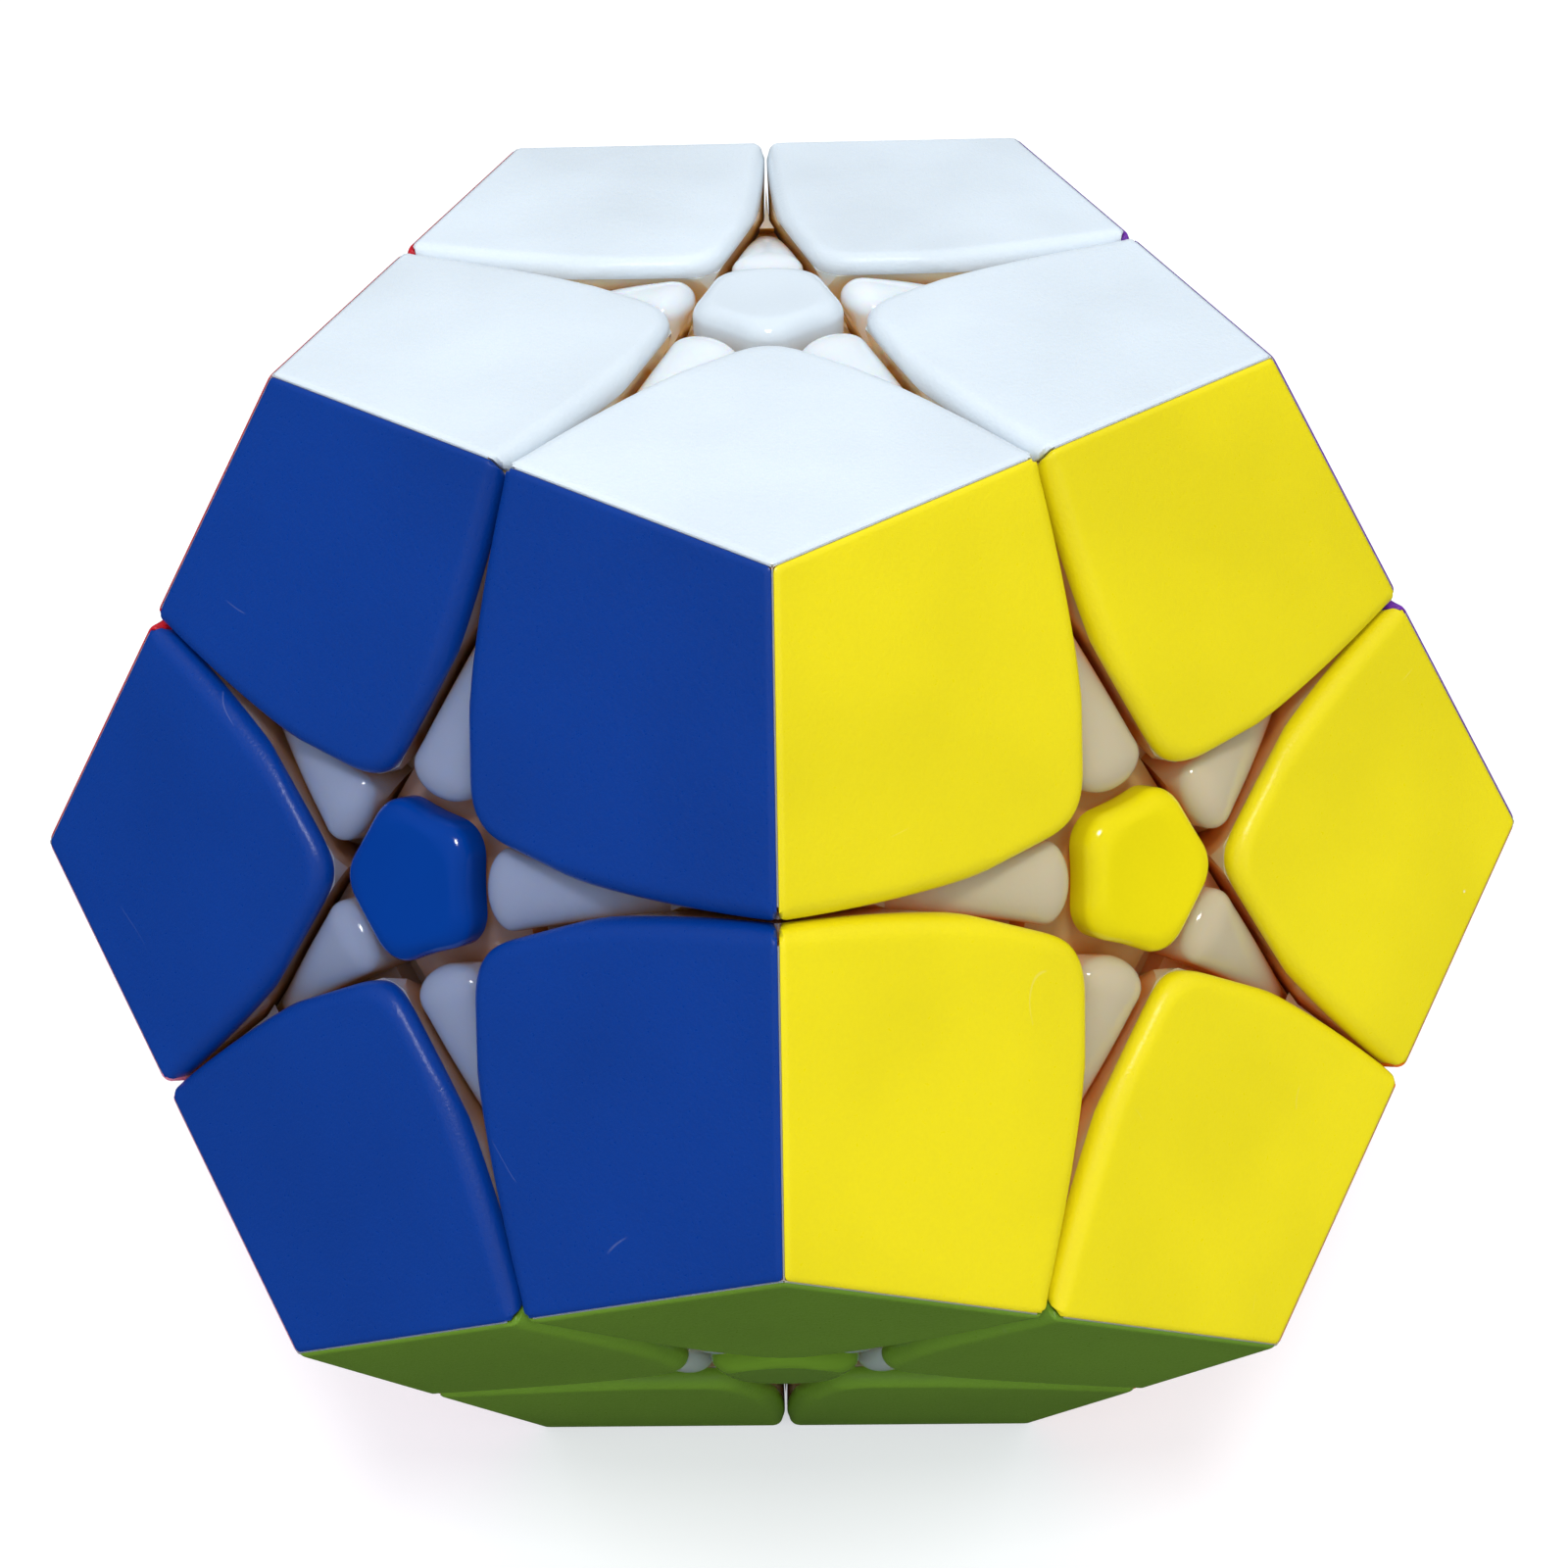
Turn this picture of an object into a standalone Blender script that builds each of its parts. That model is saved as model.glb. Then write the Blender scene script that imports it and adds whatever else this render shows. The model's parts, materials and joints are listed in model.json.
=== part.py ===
"""Dodecahedron twisty puzzle, built from the pieces that its maker assembles.

Twenty corners and thirty edges ride around a core on twelve centres. Three centres turn
on their own screw and spring; the core carries the other nine. Every cut between two
pieces is a surface turned about a face's axis, so each layer can turn past the others.

Lengths are millimetres until an object is placed, where its mesh becomes metres.
The origin is the core's centre, +Z leaves through the white face, and the edge between
the blue and the yellow face points towards -Y.
"""

import math

import bmesh
import bpy
from mathutils import Matrix, Vector

# Driving dimensions
ACROSS_FLATS = 65.0
PLAY = 0.3
INSET = PLAY / 2.0
SEGMENTS = 20

# The dodecahedron that follows from them
INRADIUS = ACROSS_FLATS / 2.0
EDGE = INRADIUS * 2.0 / math.sqrt(2.5 + 1.1 * math.sqrt(5.0))
FACE_APOTHEM = EDGE / (2.0 * math.tan(math.radians(36.0)))
RING_TILT = math.atan(0.5)
NEIGHBOUR_COSINE = 1.0 / math.sqrt(5.0)

# The turned cut under a layer, as (radius, height) about the layer's own axis.
# The rim passes through the middles of five edges of the dodecahedron.
RIM_RADIUS = INRADIUS
RIM_HEIGHT = FACE_APOTHEM
CUT_SLOPE = 0.6
NECK_RADIUS = 0.871 * INRADIUS
SHELL_RADIUS = 0.853 * INRADIUS
SHELL_CUT = 0.525 * INRADIUS
FOOT_CUT = 0.485 * INRADIUS
FAR = 1.6 * INRADIUS
OVERRUN = 1.0
WELD = 0.02

# Corners
CORNER_FOOT = 0.718 * INRADIUS
TIP_DISTANCE = 0.158 * INRADIUS
TIP_RADIUS = 0.112 * INRADIUS
TIP_TURNS = (-19.0, 0.0, 19.0)
WALL = 1.8
CAVITY_FLOOR = 0.60 * INRADIUS
SHAFT_RADIUS = 2.4
SHAFT_TOP = 0.87 * INRADIUS

# Edges
EDGE_FOOT = 0.647 * INRADIUS
EDGE_HEIGHT = 1.065 * INRADIUS
LOBE_RECESS = 0.45
FINGER_CENTRE = 0.182 * INRADIUS
FINGER_RADIUS = 0.053 * INRADIUS
FINGER_DEPTH = 3.6
FINGER_STEPS = 4

# Centres: a flange that holds the edges' feet, a stem, and a raised five-sided cap
FLANGE_BOTTOM = SHELL_RADIUS + INSET
FLANGE_TOP = INRADIUS - 1.7
FLANGE_RADIUS = 0.26 * INRADIUS
STEM_RADIUS = 3.5
STEM_BOTTOM = 17.7
CAP_APOTHEM = 3.1
CAP_ROUNDING = 1.1
CAP_SHOULDER = 0.8
CAP_TOP_SCALE = 0.86
BORE_RADIUS = 2.4
BORE_TOP = INRADIUS - 2.2
SEAT_HEIGHT = 19.5
SHANK_CLEARANCE_RADIUS = 1.3

# Core, screws and springs
CORE_RADIUS = 13.5
POST_ROOT = CORE_RADIUS / 2.0
POST_RADIUS = 3.3
POST_TOP = STEM_BOTTOM - PLAY
SCREW_SIDES = 12
SCREW_BOTTOM = 9.0
SCREW_HOLE_RADIUS = 1.3
SHANK_RADIUS = 1.0
HEAD_RADIUS = 2.0
HEAD_BOTTOM = 27.4
HEAD_TOP = 28.8
HEAD_CHAMFER = 0.4
SLOT_WIDTH = 0.5
SLOT_DEPTH = 0.7
WIRE_RADIUS = 0.28
COIL_RADIUS = 1.65
COIL_TURNS = 5
STEPS_PER_TURN = 8
WIRE_SIDES = 4
COIL_GAP = 0.1

WHITE_BODY = (0.86, 0.87, 0.86)
CORE_GREY = (0.30, 0.30, 0.31)
STEEL = (0.55, 0.56, 0.58)

# Face name: (azimuth in degrees, side of the ring, colour). Side 1 is the ring around the
# top face, side -1 the ring around the bottom face, and 2 and -2 are those two faces.
FACES = {
    "white": (0.0, 2, (0.88, 0.92, 0.95)),
    "blue": (-126.0, 1, (0.003, 0.07, 0.33)),
    "yellow": (-54.0, 1, (0.85, 0.70, 0.01)),
    "purple": (18.0, 1, (0.19, 0.04, 0.42)),
    "green": (90.0, 1, (0.01, 0.20, 0.06)),
    "red": (162.0, 1, (0.50, 0.01, 0.03)),
    "lime": (-90.0, -1, (0.24, 0.50, 0.03)),
    "orange": (-18.0, -1, (0.85, 0.22, 0.01)),
    "sky": (54.0, -1, (0.12, 0.50, 0.80)),
    "cream": (126.0, -1, (0.82, 0.74, 0.48)),
    "pink": (198.0, -1, (0.85, 0.30, 0.45)),
    "grey": (0.0, -2, (0.28, 0.29, 0.30)),
}
TURNING = ("white", "lime", "cream")


def face_normal(name):
    azimuth, side, _ = FACES[name]
    if abs(side) == 2:
        return Vector((0.0, 0.0, side / 2.0))
    flat = math.cos(RING_TILT)
    turn = math.radians(azimuth)
    return Vector((flat * math.cos(turn), flat * math.sin(turn), side * math.sin(RING_TILT)))


NORMALS = {name: face_normal(name) for name in FACES}


def are_neighbours(first, second):
    return abs(NORMALS[first].dot(NORMALS[second]) - NEIGHBOUR_COSINE) < 0.01


def neighbours(name):
    return [other for other in FACES if are_neighbours(name, other)]


def edge_list():
    names = list(FACES)
    return [(a, b) for i, a in enumerate(names) for b in names[i + 1:] if are_neighbours(a, b)]


def corner_list():
    """The twenty triples of faces, each turning the same way round its corner."""
    corners = []
    for a, b in edge_list():
        for c in list(FACES)[list(FACES).index(b) + 1:]:
            if are_neighbours(a, c) and are_neighbours(b, c):
                turn = NORMALS[a].cross(NORMALS[b]).dot(NORMALS[c])
                corners.append((a, b, c) if turn > 0.0 else (a, c, b))
    return corners


def columns(x_axis, y_axis, z_axis):
    return Matrix((x_axis, y_axis, z_axis)).transposed()


def face_frame(name):
    """Axes on a face: Z out of it, X towards a neighbouring face."""
    normal = NORMALS[name]
    towards = NORMALS[neighbours(name)[0]]
    x_axis = (towards - normal * towards.dot(normal)).normalized()
    return columns(x_axis, normal.cross(x_axis), normal)


def edge_frame(a, b):
    """Axes on an edge: Z out through its middle, X towards its first face's axis."""
    z_axis = (NORMALS[a] + NORMALS[b]).normalized()
    x_axis = (NORMALS[a] - NORMALS[b]).normalized()
    return columns(x_axis, z_axis.cross(x_axis), z_axis)


def corner_frame(a, b, c):
    """The three face normals as columns: skewed, but alike at every corner."""
    return columns(NORMALS[a], NORMALS[b], NORMALS[c])


def clear_scene():
    for item in list(bpy.data.objects):
        bpy.data.objects.remove(item, do_unlink=True)


def new_object(name, mesh):
    item = bpy.data.objects.new(name, mesh)
    bpy.context.scene.collection.objects.link(item)
    return item


def object_from(bm, name):
    bmesh.ops.recalc_face_normals(bm, faces=bm.faces)
    mesh = bpy.data.meshes.new(name)
    bm.to_mesh(mesh)
    bm.free()
    return new_object(name, mesh)


def turned(name, profile, segments):
    """A solid turned about Z from (radius, height) points, the first and last on the axis."""
    bm = bmesh.new()
    points = [bm.verts.new((radius, 0.0, height)) for radius, height in profile]
    lines = [bm.edges.new(pair) for pair in zip(points, points[1:])]
    bmesh.ops.spin(
        bm, geom=points + lines, cent=(0, 0, 0), axis=(0, 0, 1),
        angle=2.0 * math.pi, steps=segments, use_merge=True,
    )
    bmesh.ops.remove_doubles(bm, verts=bm.verts, dist=WELD)
    return object_from(bm, name)


def prism(name, outline, bottom, top):
    """A solid over a flat outline of (x, y) points, between two heights."""
    bm = bmesh.new()
    base = bm.faces.new([bm.verts.new((x, y, bottom)) for x, y in outline])
    raised = bmesh.ops.extrude_face_region(bm, geom=[base])["geom"]
    moved = [item for item in raised if isinstance(item, bmesh.types.BMVert)]
    bmesh.ops.translate(bm, verts=moved, vec=(0.0, 0.0, top - bottom))
    return object_from(bm, name)


def slice_off(bm, distance, direction):
    """Cut away what lies beyond a plane, and close the cut."""
    cut = bmesh.ops.bisect_plane(
        bm, geom=bm.verts[:] + bm.edges[:] + bm.faces[:], dist=0.0001,
        plane_co=direction * distance, plane_no=direction, clear_outer=True,
    )
    rim = [item for item in cut["geom_cut"] if isinstance(item, bmesh.types.BMEdge)]
    if rim:
        bmesh.ops.edgeloop_fill(bm, edges=rim)


def block_within(name, planes):
    """The convex solid inside (distance, direction) planes."""
    bm = bmesh.new()
    bmesh.ops.create_cube(bm, size=2.0 * FAR)
    for distance, direction in planes:
        slice_off(bm, distance, direction)
    return object_from(bm, name)


def sliced(item, planes):
    bm = bmesh.new()
    bm.from_mesh(item.data)
    for distance, direction in planes:
        slice_off(bm, distance, direction)
    bmesh.ops.recalc_face_normals(bm, faces=bm.faces)
    bm.to_mesh(item.data)
    bm.free()


def combine(item, other, operation):
    """Join, cut or intersect an object with another, which is used up."""
    modifier = item.modifiers.new(operation, "BOOLEAN")
    modifier.operation = operation
    modifier.solver = "EXACT"
    modifier.object = other
    depsgraph = bpy.context.evaluated_depsgraph_get()
    result = bpy.data.meshes.new_from_object(item.evaluated_get(depsgraph))
    item.modifiers.clear()
    item.data = result
    bpy.data.objects.remove(other, do_unlink=True)
    weld(result)


def weld(mesh):
    """Close the hairline cracks that a cut leaves where points fall together."""
    bm = bmesh.new()
    bm.from_mesh(mesh)
    bmesh.ops.remove_doubles(bm, verts=bm.verts, dist=WELD)
    bmesh.ops.dissolve_degenerate(bm, edges=bm.edges, dist=WELD)
    bm.to_mesh(mesh)
    bm.free()


def layer_profile(inset):
    """The turned solid of one layer. A positive inset shrinks it, for the pieces inside
    the layer; a negative one grows it, for the room that pieces outside it must leave."""
    shift = inset * math.hypot(1.0, CUT_SLOPE)
    neck = RIM_HEIGHT - CUT_SLOPE * (RIM_RADIUS - NECK_RADIUS) + shift
    foot = FOOT_CUT + inset
    ledge = SHELL_CUT + inset
    shell = SHELL_RADIUS - inset
    outside = RIM_HEIGHT + CUT_SLOPE * (FAR - RIM_RADIUS) + shift
    return [
        (0.0, foot),
        (math.sqrt(shell ** 2 - foot ** 2), foot),
        (math.sqrt(shell ** 2 - ledge ** 2), ledge),
        (NECK_RADIUS, neck),
        (FAR, outside),
        (FAR, FAR),
        (0.0, FAR),
    ]


def layer_solid(face, inset):
    solid = turned("layer_" + face, layer_profile(inset), SEGMENTS)
    solid.data.transform(face_frame(face).to_4x4())
    return solid


def dodecahedron(name):
    return block_within(name, [(INRADIUS, normal) for normal in NORMALS.values()])


def third_faces(a, b):
    """The two faces at the ends of the edge between two faces."""
    return [c for c in FACES if are_neighbours(a, c) and are_neighbours(b, c)]


def corner_direction(corner):
    return sum((NORMALS[face] for face in corner), Vector()).normalized()


def tip_planes(corner):
    """Upright planes that round each tile's inner tip, facing its face's axis."""
    planes = []
    middle = corner_direction(corner)
    for face in corner:
        normal = NORMALS[face]
        outward = (middle - normal * middle.dot(normal)).normalized()
        for turn in TIP_TURNS:
            inward = Matrix.Rotation(math.radians(turn), 3, normal) @ -outward
            centre = (TIP_DISTANCE + TIP_RADIUS) * math.cos(math.radians(turn))
            planes.append((TIP_RADIUS - centre, inward))
    return planes


def corner_cavity(corner):
    """The hollow inside a corner, open at its foot through a three-sided shaft."""
    middle = corner_direction(corner)
    planes = [(INRADIUS - WALL, NORMALS[face]) for face in corner]
    planes += [(-CAVITY_FLOOR, -NORMALS[face]) for face in corner]
    cavity = block_within("cavity", planes)
    sides = [(NORMALS[face] - middle * NORMALS[face].dot(middle)).normalized() for face in corner]
    shaft_planes = [(SHAFT_RADIUS, -side) for side in sides]
    shaft_planes += [(SHAFT_TOP, middle), (OVERRUN - CORNER_FOOT, -middle)]
    combine(cavity, block_within("shaft", shaft_planes), "UNION")
    return cavity


def corner_mesh(corner):
    """One corner: three tiles on a trihedral block, with a foot that hooks under edges."""
    piece = dodecahedron("corner")
    for face in corner:
        combine(piece, layer_solid(face, INSET), "INTERSECT")
    sliced(piece, [(-CORNER_FOOT, -corner_direction(corner))] + tip_planes(corner))
    combine(piece, corner_cavity(corner), "DIFFERENCE")
    paint_tiles(piece.data, corner)
    return used_up(piece)


def paint_tiles(mesh, faces):
    """Slots 0, 1, 2 are the tiles on the given faces, and the last slot is the body."""
    for polygon in mesh.polygons:
        polygon.material_index = len(faces)
        for slot, face in enumerate(faces):
            height = polygon.center.dot(NORMALS[face])
            if polygon.normal.dot(NORMALS[face]) > 0.999 and height > INRADIUS - 0.01:
                polygon.material_index = slot


def used_up(item):
    """Keep an object's mesh and remove the object."""
    mesh = item.data
    bpy.data.objects.remove(item, do_unlink=True)
    return mesh


def finger_room(face, other):
    """What is cut from an edge piece beside a centre, so its lobe ends as a round finger."""
    steps = [math.pi * i / FINGER_STEPS for i in range(FINGER_STEPS + 1)]
    arc = [
        (FINGER_CENTRE - FINGER_RADIUS * math.sin(turn), FINGER_RADIUS * math.cos(turn))
        for turn in steps
    ]
    beyond = 2.0 * FINGER_RADIUS
    outline = [(FINGER_CENTRE, beyond)] + arc
    outline += [(FINGER_CENTRE, -beyond), (-beyond, -beyond), (-beyond, beyond)]
    room = prism("finger_room", outline, INRADIUS - FINGER_DEPTH, INRADIUS + OVERRUN)
    normal = NORMALS[face]
    towards = NORMALS[other]
    x_axis = (towards - normal * towards.dot(normal)).normalized()
    room.data.transform(columns(x_axis, normal.cross(x_axis), normal).to_4x4())
    return room


def edge_mesh(a, b):
    """One edge: a lobe in the gap on each of its two faces, and a foot under the centres."""
    piece = dodecahedron("edge")
    for face in (a, b):
        combine(piece, layer_solid(face, INSET), "INTERSECT")
    for face in third_faces(a, b):
        combine(piece, layer_solid(face, -INSET), "DIFFERENCE")
    middle = (NORMALS[a] + NORMALS[b]).normalized()
    planes = [(INRADIUS - LOBE_RECESS, NORMALS[face]) for face in (a, b)]
    sliced(piece, planes + [(EDGE_HEIGHT, middle), (-EDGE_FOOT, -middle)])
    combine(piece, finger_room(a, b), "DIFFERENCE")
    combine(piece, finger_room(b, a), "DIFFERENCE")
    return used_up(piece)


def cap_outline(scale):
    """A pentagon with rounded corners, which point at the tips of the tiles."""
    outline = []
    reach = (CAP_APOTHEM - CAP_ROUNDING) / math.cos(math.radians(36.0))
    for corner in range(5):
        heading = math.radians(36.0 + 72.0 * corner)
        for turn in (-36.0, 0.0, 36.0):
            swing = heading + math.radians(turn)
            x = reach * math.cos(heading) + CAP_ROUNDING * math.cos(swing)
            y = reach * math.sin(heading) + CAP_ROUNDING * math.sin(swing)
            outline.append((x * scale, y * scale))
    return outline


def cap_object():
    """The raised cap: an upright wall, then a chamfer to a smaller flat top."""
    levels = (
        (FLANGE_TOP - OVERRUN, 1.0), (INRADIUS - CAP_SHOULDER, 1.0), (INRADIUS, CAP_TOP_SCALE),
    )
    bm = bmesh.new()
    rings = [[bm.verts.new((x, y, z)) for x, y in cap_outline(s)] for z, s in levels]
    for lower, upper in zip(rings, rings[1:]):
        for i, vertex in enumerate(lower):
            after = (i + 1) % len(lower)
            bm.faces.new((vertex, lower[after], upper[after], upper[i]))
    bm.faces.new(rings[0][::-1])
    bm.faces.new(rings[-1])
    return object_from(bm, "cap")


def centre_blank(stem_bottom):
    """Flange, stem and cap as one solid, cut free of the five neighbouring layers."""
    face = TURNING[0]
    profile = [
        (0.0, stem_bottom), (STEM_RADIUS, stem_bottom), (STEM_RADIUS, FLANGE_BOTTOM),
        (FLANGE_RADIUS, FLANGE_BOTTOM), (FLANGE_RADIUS, FLANGE_TOP), (0.0, FLANGE_TOP),
    ]
    piece = turned("centre", profile, SEGMENTS // 2)
    piece.data.transform(face_frame(face).to_4x4())
    for other in neighbours(face):
        combine(piece, layer_solid(other, -INSET), "DIFFERENCE")
    cap = cap_object()
    cap.data.transform(face_frame(face).to_4x4())
    combine(piece, cap, "UNION")
    return piece


def centre_mesh():
    """A turning centre: its bore holds the spring and the screw's head."""
    piece = centre_blank(STEM_BOTTOM)
    profile = [
        (0.0, STEM_BOTTOM - OVERRUN), (SHANK_CLEARANCE_RADIUS, STEM_BOTTOM - OVERRUN),
        (SHANK_CLEARANCE_RADIUS, SEAT_HEIGHT), (BORE_RADIUS, SEAT_HEIGHT),
        (BORE_RADIUS, BORE_TOP), (0.0, BORE_TOP),
    ]
    bore = turned("bore", profile, SEGMENTS // 2)
    bore.data.transform(face_frame(TURNING[0]).to_4x4())
    combine(piece, bore, "DIFFERENCE")
    paint_tiles(piece.data, TURNING[:1])
    return used_up(piece)


def screw_mesh(face):
    """A slotted screw, from its head over the spring to its tip in the core."""
    profile = [
        (0.0, SCREW_BOTTOM), (SHANK_RADIUS * 0.5, SCREW_BOTTOM),
        (SHANK_RADIUS, SCREW_BOTTOM + SHANK_RADIUS), (SHANK_RADIUS, HEAD_BOTTOM),
        (HEAD_RADIUS, HEAD_BOTTOM), (HEAD_RADIUS, HEAD_TOP - HEAD_CHAMFER),
        (HEAD_RADIUS - HEAD_CHAMFER, HEAD_TOP), (0.0, HEAD_TOP),
    ]
    piece = turned("screw", profile, SCREW_SIDES)
    half = SLOT_WIDTH / 2.0
    ends = ((-HEAD_RADIUS, -half), (HEAD_RADIUS, -half), (HEAD_RADIUS, half), (-HEAD_RADIUS, half))
    slot = prism("slot", ends, HEAD_TOP - SLOT_DEPTH, HEAD_TOP + OVERRUN)
    combine(piece, slot, "DIFFERENCE")
    piece.data.transform(face_frame(face).to_4x4())
    return used_up(piece)


def spring_mesh(face):
    """A coil between the centre's seat and the screw's head, its ends cut square."""
    bottom = SEAT_HEIGHT + COIL_GAP + WIRE_RADIUS
    top = HEAD_BOTTOM - COIL_GAP - WIRE_RADIUS
    steps = STEPS_PER_TURN * COIL_TURNS
    bm = bmesh.new()
    rings = []
    for i in range(steps + 1):
        turn = 2.0 * math.pi * COIL_TURNS * i / steps
        height = bottom + (top - bottom) * i / steps
        ring = []
        for side in range(WIRE_SIDES):
            swing = 2.0 * math.pi * side / WIRE_SIDES
            radius = COIL_RADIUS + WIRE_RADIUS * math.cos(swing)
            z = height + WIRE_RADIUS * math.sin(swing)
            ring.append(bm.verts.new((radius * math.cos(turn), radius * math.sin(turn), z)))
        rings.append(ring)
    for lower, upper in zip(rings, rings[1:]):
        for side in range(WIRE_SIDES):
            after = (side + 1) % WIRE_SIDES
            bm.faces.new((lower[side], lower[after], upper[after], upper[side]))
    bm.faces.new(rings[0][::-1])
    bm.faces.new(rings[-1])
    item = object_from(bm, "spring")
    item.data.transform(face_frame(face).to_4x4())
    return used_up(item)


def core_ball():
    bm = bmesh.new()
    bmesh.ops.create_icosphere(bm, subdivisions=2, radius=CORE_RADIUS)
    return object_from(bm, "core")


def core_post(face):
    """A post towards a turning centre, bored for its screw."""
    profile = [
        (0.0, POST_ROOT), (POST_RADIUS, POST_ROOT),
        (POST_RADIUS, POST_TOP), (0.0, POST_TOP),
    ]
    post = turned("post", profile, SEGMENTS // 2)
    post.data.transform(face_frame(face).to_4x4())
    return post


def screw_hole(face):
    profile = [
        (0.0, SCREW_BOTTOM - PLAY), (SCREW_HOLE_RADIUS, SCREW_BOTTOM - PLAY),
        (SCREW_HOLE_RADIUS, POST_TOP + OVERRUN), (0.0, POST_TOP + OVERRUN),
    ]
    hole = turned("hole", profile, SCREW_SIDES)
    hole.data.transform(face_frame(face).to_4x4())
    return hole


def core_mesh(fixed):
    """The core with nine centres held down to it, and three bored posts for the others."""
    piece = core_ball()
    for face in TURNING:
        combine(piece, core_post(face), "UNION")
        combine(piece, screw_hole(face), "DIFFERENCE")
    stack = used_up(centre_blank(POST_ROOT))
    start = face_frame(TURNING[0]).inverted()
    for face in fixed:
        centre = new_object("fixed_centre", stack.copy())
        centre.data.transform((face_frame(face) @ start).to_4x4())
        combine(piece, centre, "UNION")
    paint_tiles(piece.data, fixed)
    return used_up(piece)


def plastic(name, colour, roughness=0.42, metallic=0.0):
    if name in bpy.data.materials:
        return bpy.data.materials[name]
    material = bpy.data.materials.new(name)
    material.use_nodes = True
    shader = material.node_tree.nodes["Principled BSDF"]
    shader.inputs["Base Color"].default_value = (*colour, 1.0)
    shader.inputs["Roughness"].default_value = roughness
    shader.inputs["Metallic"].default_value = metallic
    return material


def tile_plastic(face):
    return plastic("plastic_" + face, FACES[face][2])


def body_plastic():
    return plastic("plastic_body", WHITE_BODY)


def ready_mesh(mesh, name, slots):
    """Scale a finished mesh to metres and give it empty material slots."""
    mesh.name = name
    mesh.transform(Matrix.Scale(0.001, 4))
    mesh.materials.clear()
    for _ in range(slots):
        mesh.materials.append(None)
    return mesh


def place(name, mesh, parent, turn, materials):
    """One piece: a shared mesh, turned about the origin into its own place."""
    piece = new_object(name, mesh)
    piece.parent = parent
    piece.rotation_mode = "QUATERNION"
    piece.rotation_quaternion = turn.to_quaternion()
    for slot, material in zip(piece.material_slots, materials):
        slot.link = "OBJECT"
        slot.material = material
    return piece


def layer_of(faces):
    """The turning layer that carries a piece on these faces, or none."""
    for face in faces:
        if face in TURNING:
            return face
    return None


def layer_parents():
    """Empties at the origin, one for each turning layer and one for the core's pieces."""
    parents = {face: new_object("layer_" + face, None) for face in TURNING}
    parents[None] = new_object("core_group", None)
    return parents


def build_corners(parents):
    corners = corner_list()
    first = corners[0]
    mesh = ready_mesh(corner_mesh(first), "corner", 4)
    start = corner_frame(*first).inverted()
    for corner in corners:
        turn = corner_frame(*corner) @ start
        materials = [tile_plastic(face) for face in corner] + [body_plastic()]
        place("corner_" + "_".join(corner), mesh, parents[layer_of(corner)], turn, materials)


def build_edges(parents):
    edges = edge_list()
    first = edges[0]
    mesh = ready_mesh(edge_mesh(*first), "edge", 1)
    start = edge_frame(*first).inverted()
    for a, b in edges:
        turn = edge_frame(a, b) @ start
        place(f"edge_{a}_{b}", mesh, parents[layer_of((a, b))], turn, [body_plastic()])


def build_centres(parents):
    first = TURNING[0]
    steel = plastic("steel", STEEL, 0.3, 1.0)
    centre = ready_mesh(centre_mesh(), "centre", 2)
    screw = ready_mesh(screw_mesh(first), "screw", 1)
    spring = ready_mesh(spring_mesh(first), "spring", 1)
    start = face_frame(first).inverted()
    for face in TURNING:
        turn = face_frame(face) @ start
        place("centre_" + face, centre, parents[face], turn, [tile_plastic(face), body_plastic()])
        place("spring_" + face, spring, parents[face], turn, [steel])
        place("screw_" + face, screw, parents[None], turn, [steel])


def build_core(parents):
    fixed = [face for face in FACES if face not in TURNING]
    mesh = ready_mesh(core_mesh(fixed), "core", len(fixed) + 1)
    materials = [tile_plastic(face) for face in fixed] + [plastic("plastic_core", CORE_GREY)]
    place("core_with_fixed_centres", mesh, parents[None], Matrix.Identity(3), materials)


clear_scene()
layers = layer_parents()
build_corners(layers)
build_edges(layers)
build_centres(layers)
build_core(layers)
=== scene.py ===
"""Dodecahedron twisty puzzle: the finished look of every piece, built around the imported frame.

Each kind of piece is modelled once and turned into all its places, and rides on the body of
the CAD node that it stands for. Lengths are millimetres until a mesh is finished, where it
becomes metres. The origin is the puzzle's centre and +Z leaves through the white face.
"""

import json
import math

import bmesh
import bpy
import numpy as np
from mathutils import Matrix, Vector


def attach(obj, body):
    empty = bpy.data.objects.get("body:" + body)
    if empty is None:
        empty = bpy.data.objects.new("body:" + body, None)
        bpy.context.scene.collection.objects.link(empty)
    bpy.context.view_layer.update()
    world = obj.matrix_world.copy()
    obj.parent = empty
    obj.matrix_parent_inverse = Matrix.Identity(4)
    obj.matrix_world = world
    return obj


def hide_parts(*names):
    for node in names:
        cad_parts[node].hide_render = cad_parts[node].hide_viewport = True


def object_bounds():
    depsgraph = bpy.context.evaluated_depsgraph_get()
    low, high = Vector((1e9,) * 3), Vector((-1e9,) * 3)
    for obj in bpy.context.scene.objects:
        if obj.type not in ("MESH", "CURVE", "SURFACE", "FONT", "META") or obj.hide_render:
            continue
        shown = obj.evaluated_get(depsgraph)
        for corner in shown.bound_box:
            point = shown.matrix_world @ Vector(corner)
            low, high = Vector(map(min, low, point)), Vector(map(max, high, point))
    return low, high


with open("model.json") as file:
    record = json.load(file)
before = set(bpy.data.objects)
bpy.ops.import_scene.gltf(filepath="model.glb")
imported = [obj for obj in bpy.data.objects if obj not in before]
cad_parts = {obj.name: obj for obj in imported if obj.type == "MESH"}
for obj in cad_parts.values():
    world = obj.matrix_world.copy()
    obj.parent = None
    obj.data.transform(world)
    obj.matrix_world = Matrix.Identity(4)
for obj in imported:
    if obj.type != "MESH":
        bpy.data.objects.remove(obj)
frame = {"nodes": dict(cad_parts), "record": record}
cad_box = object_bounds()

MILLIMETRE = 0.001

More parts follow.
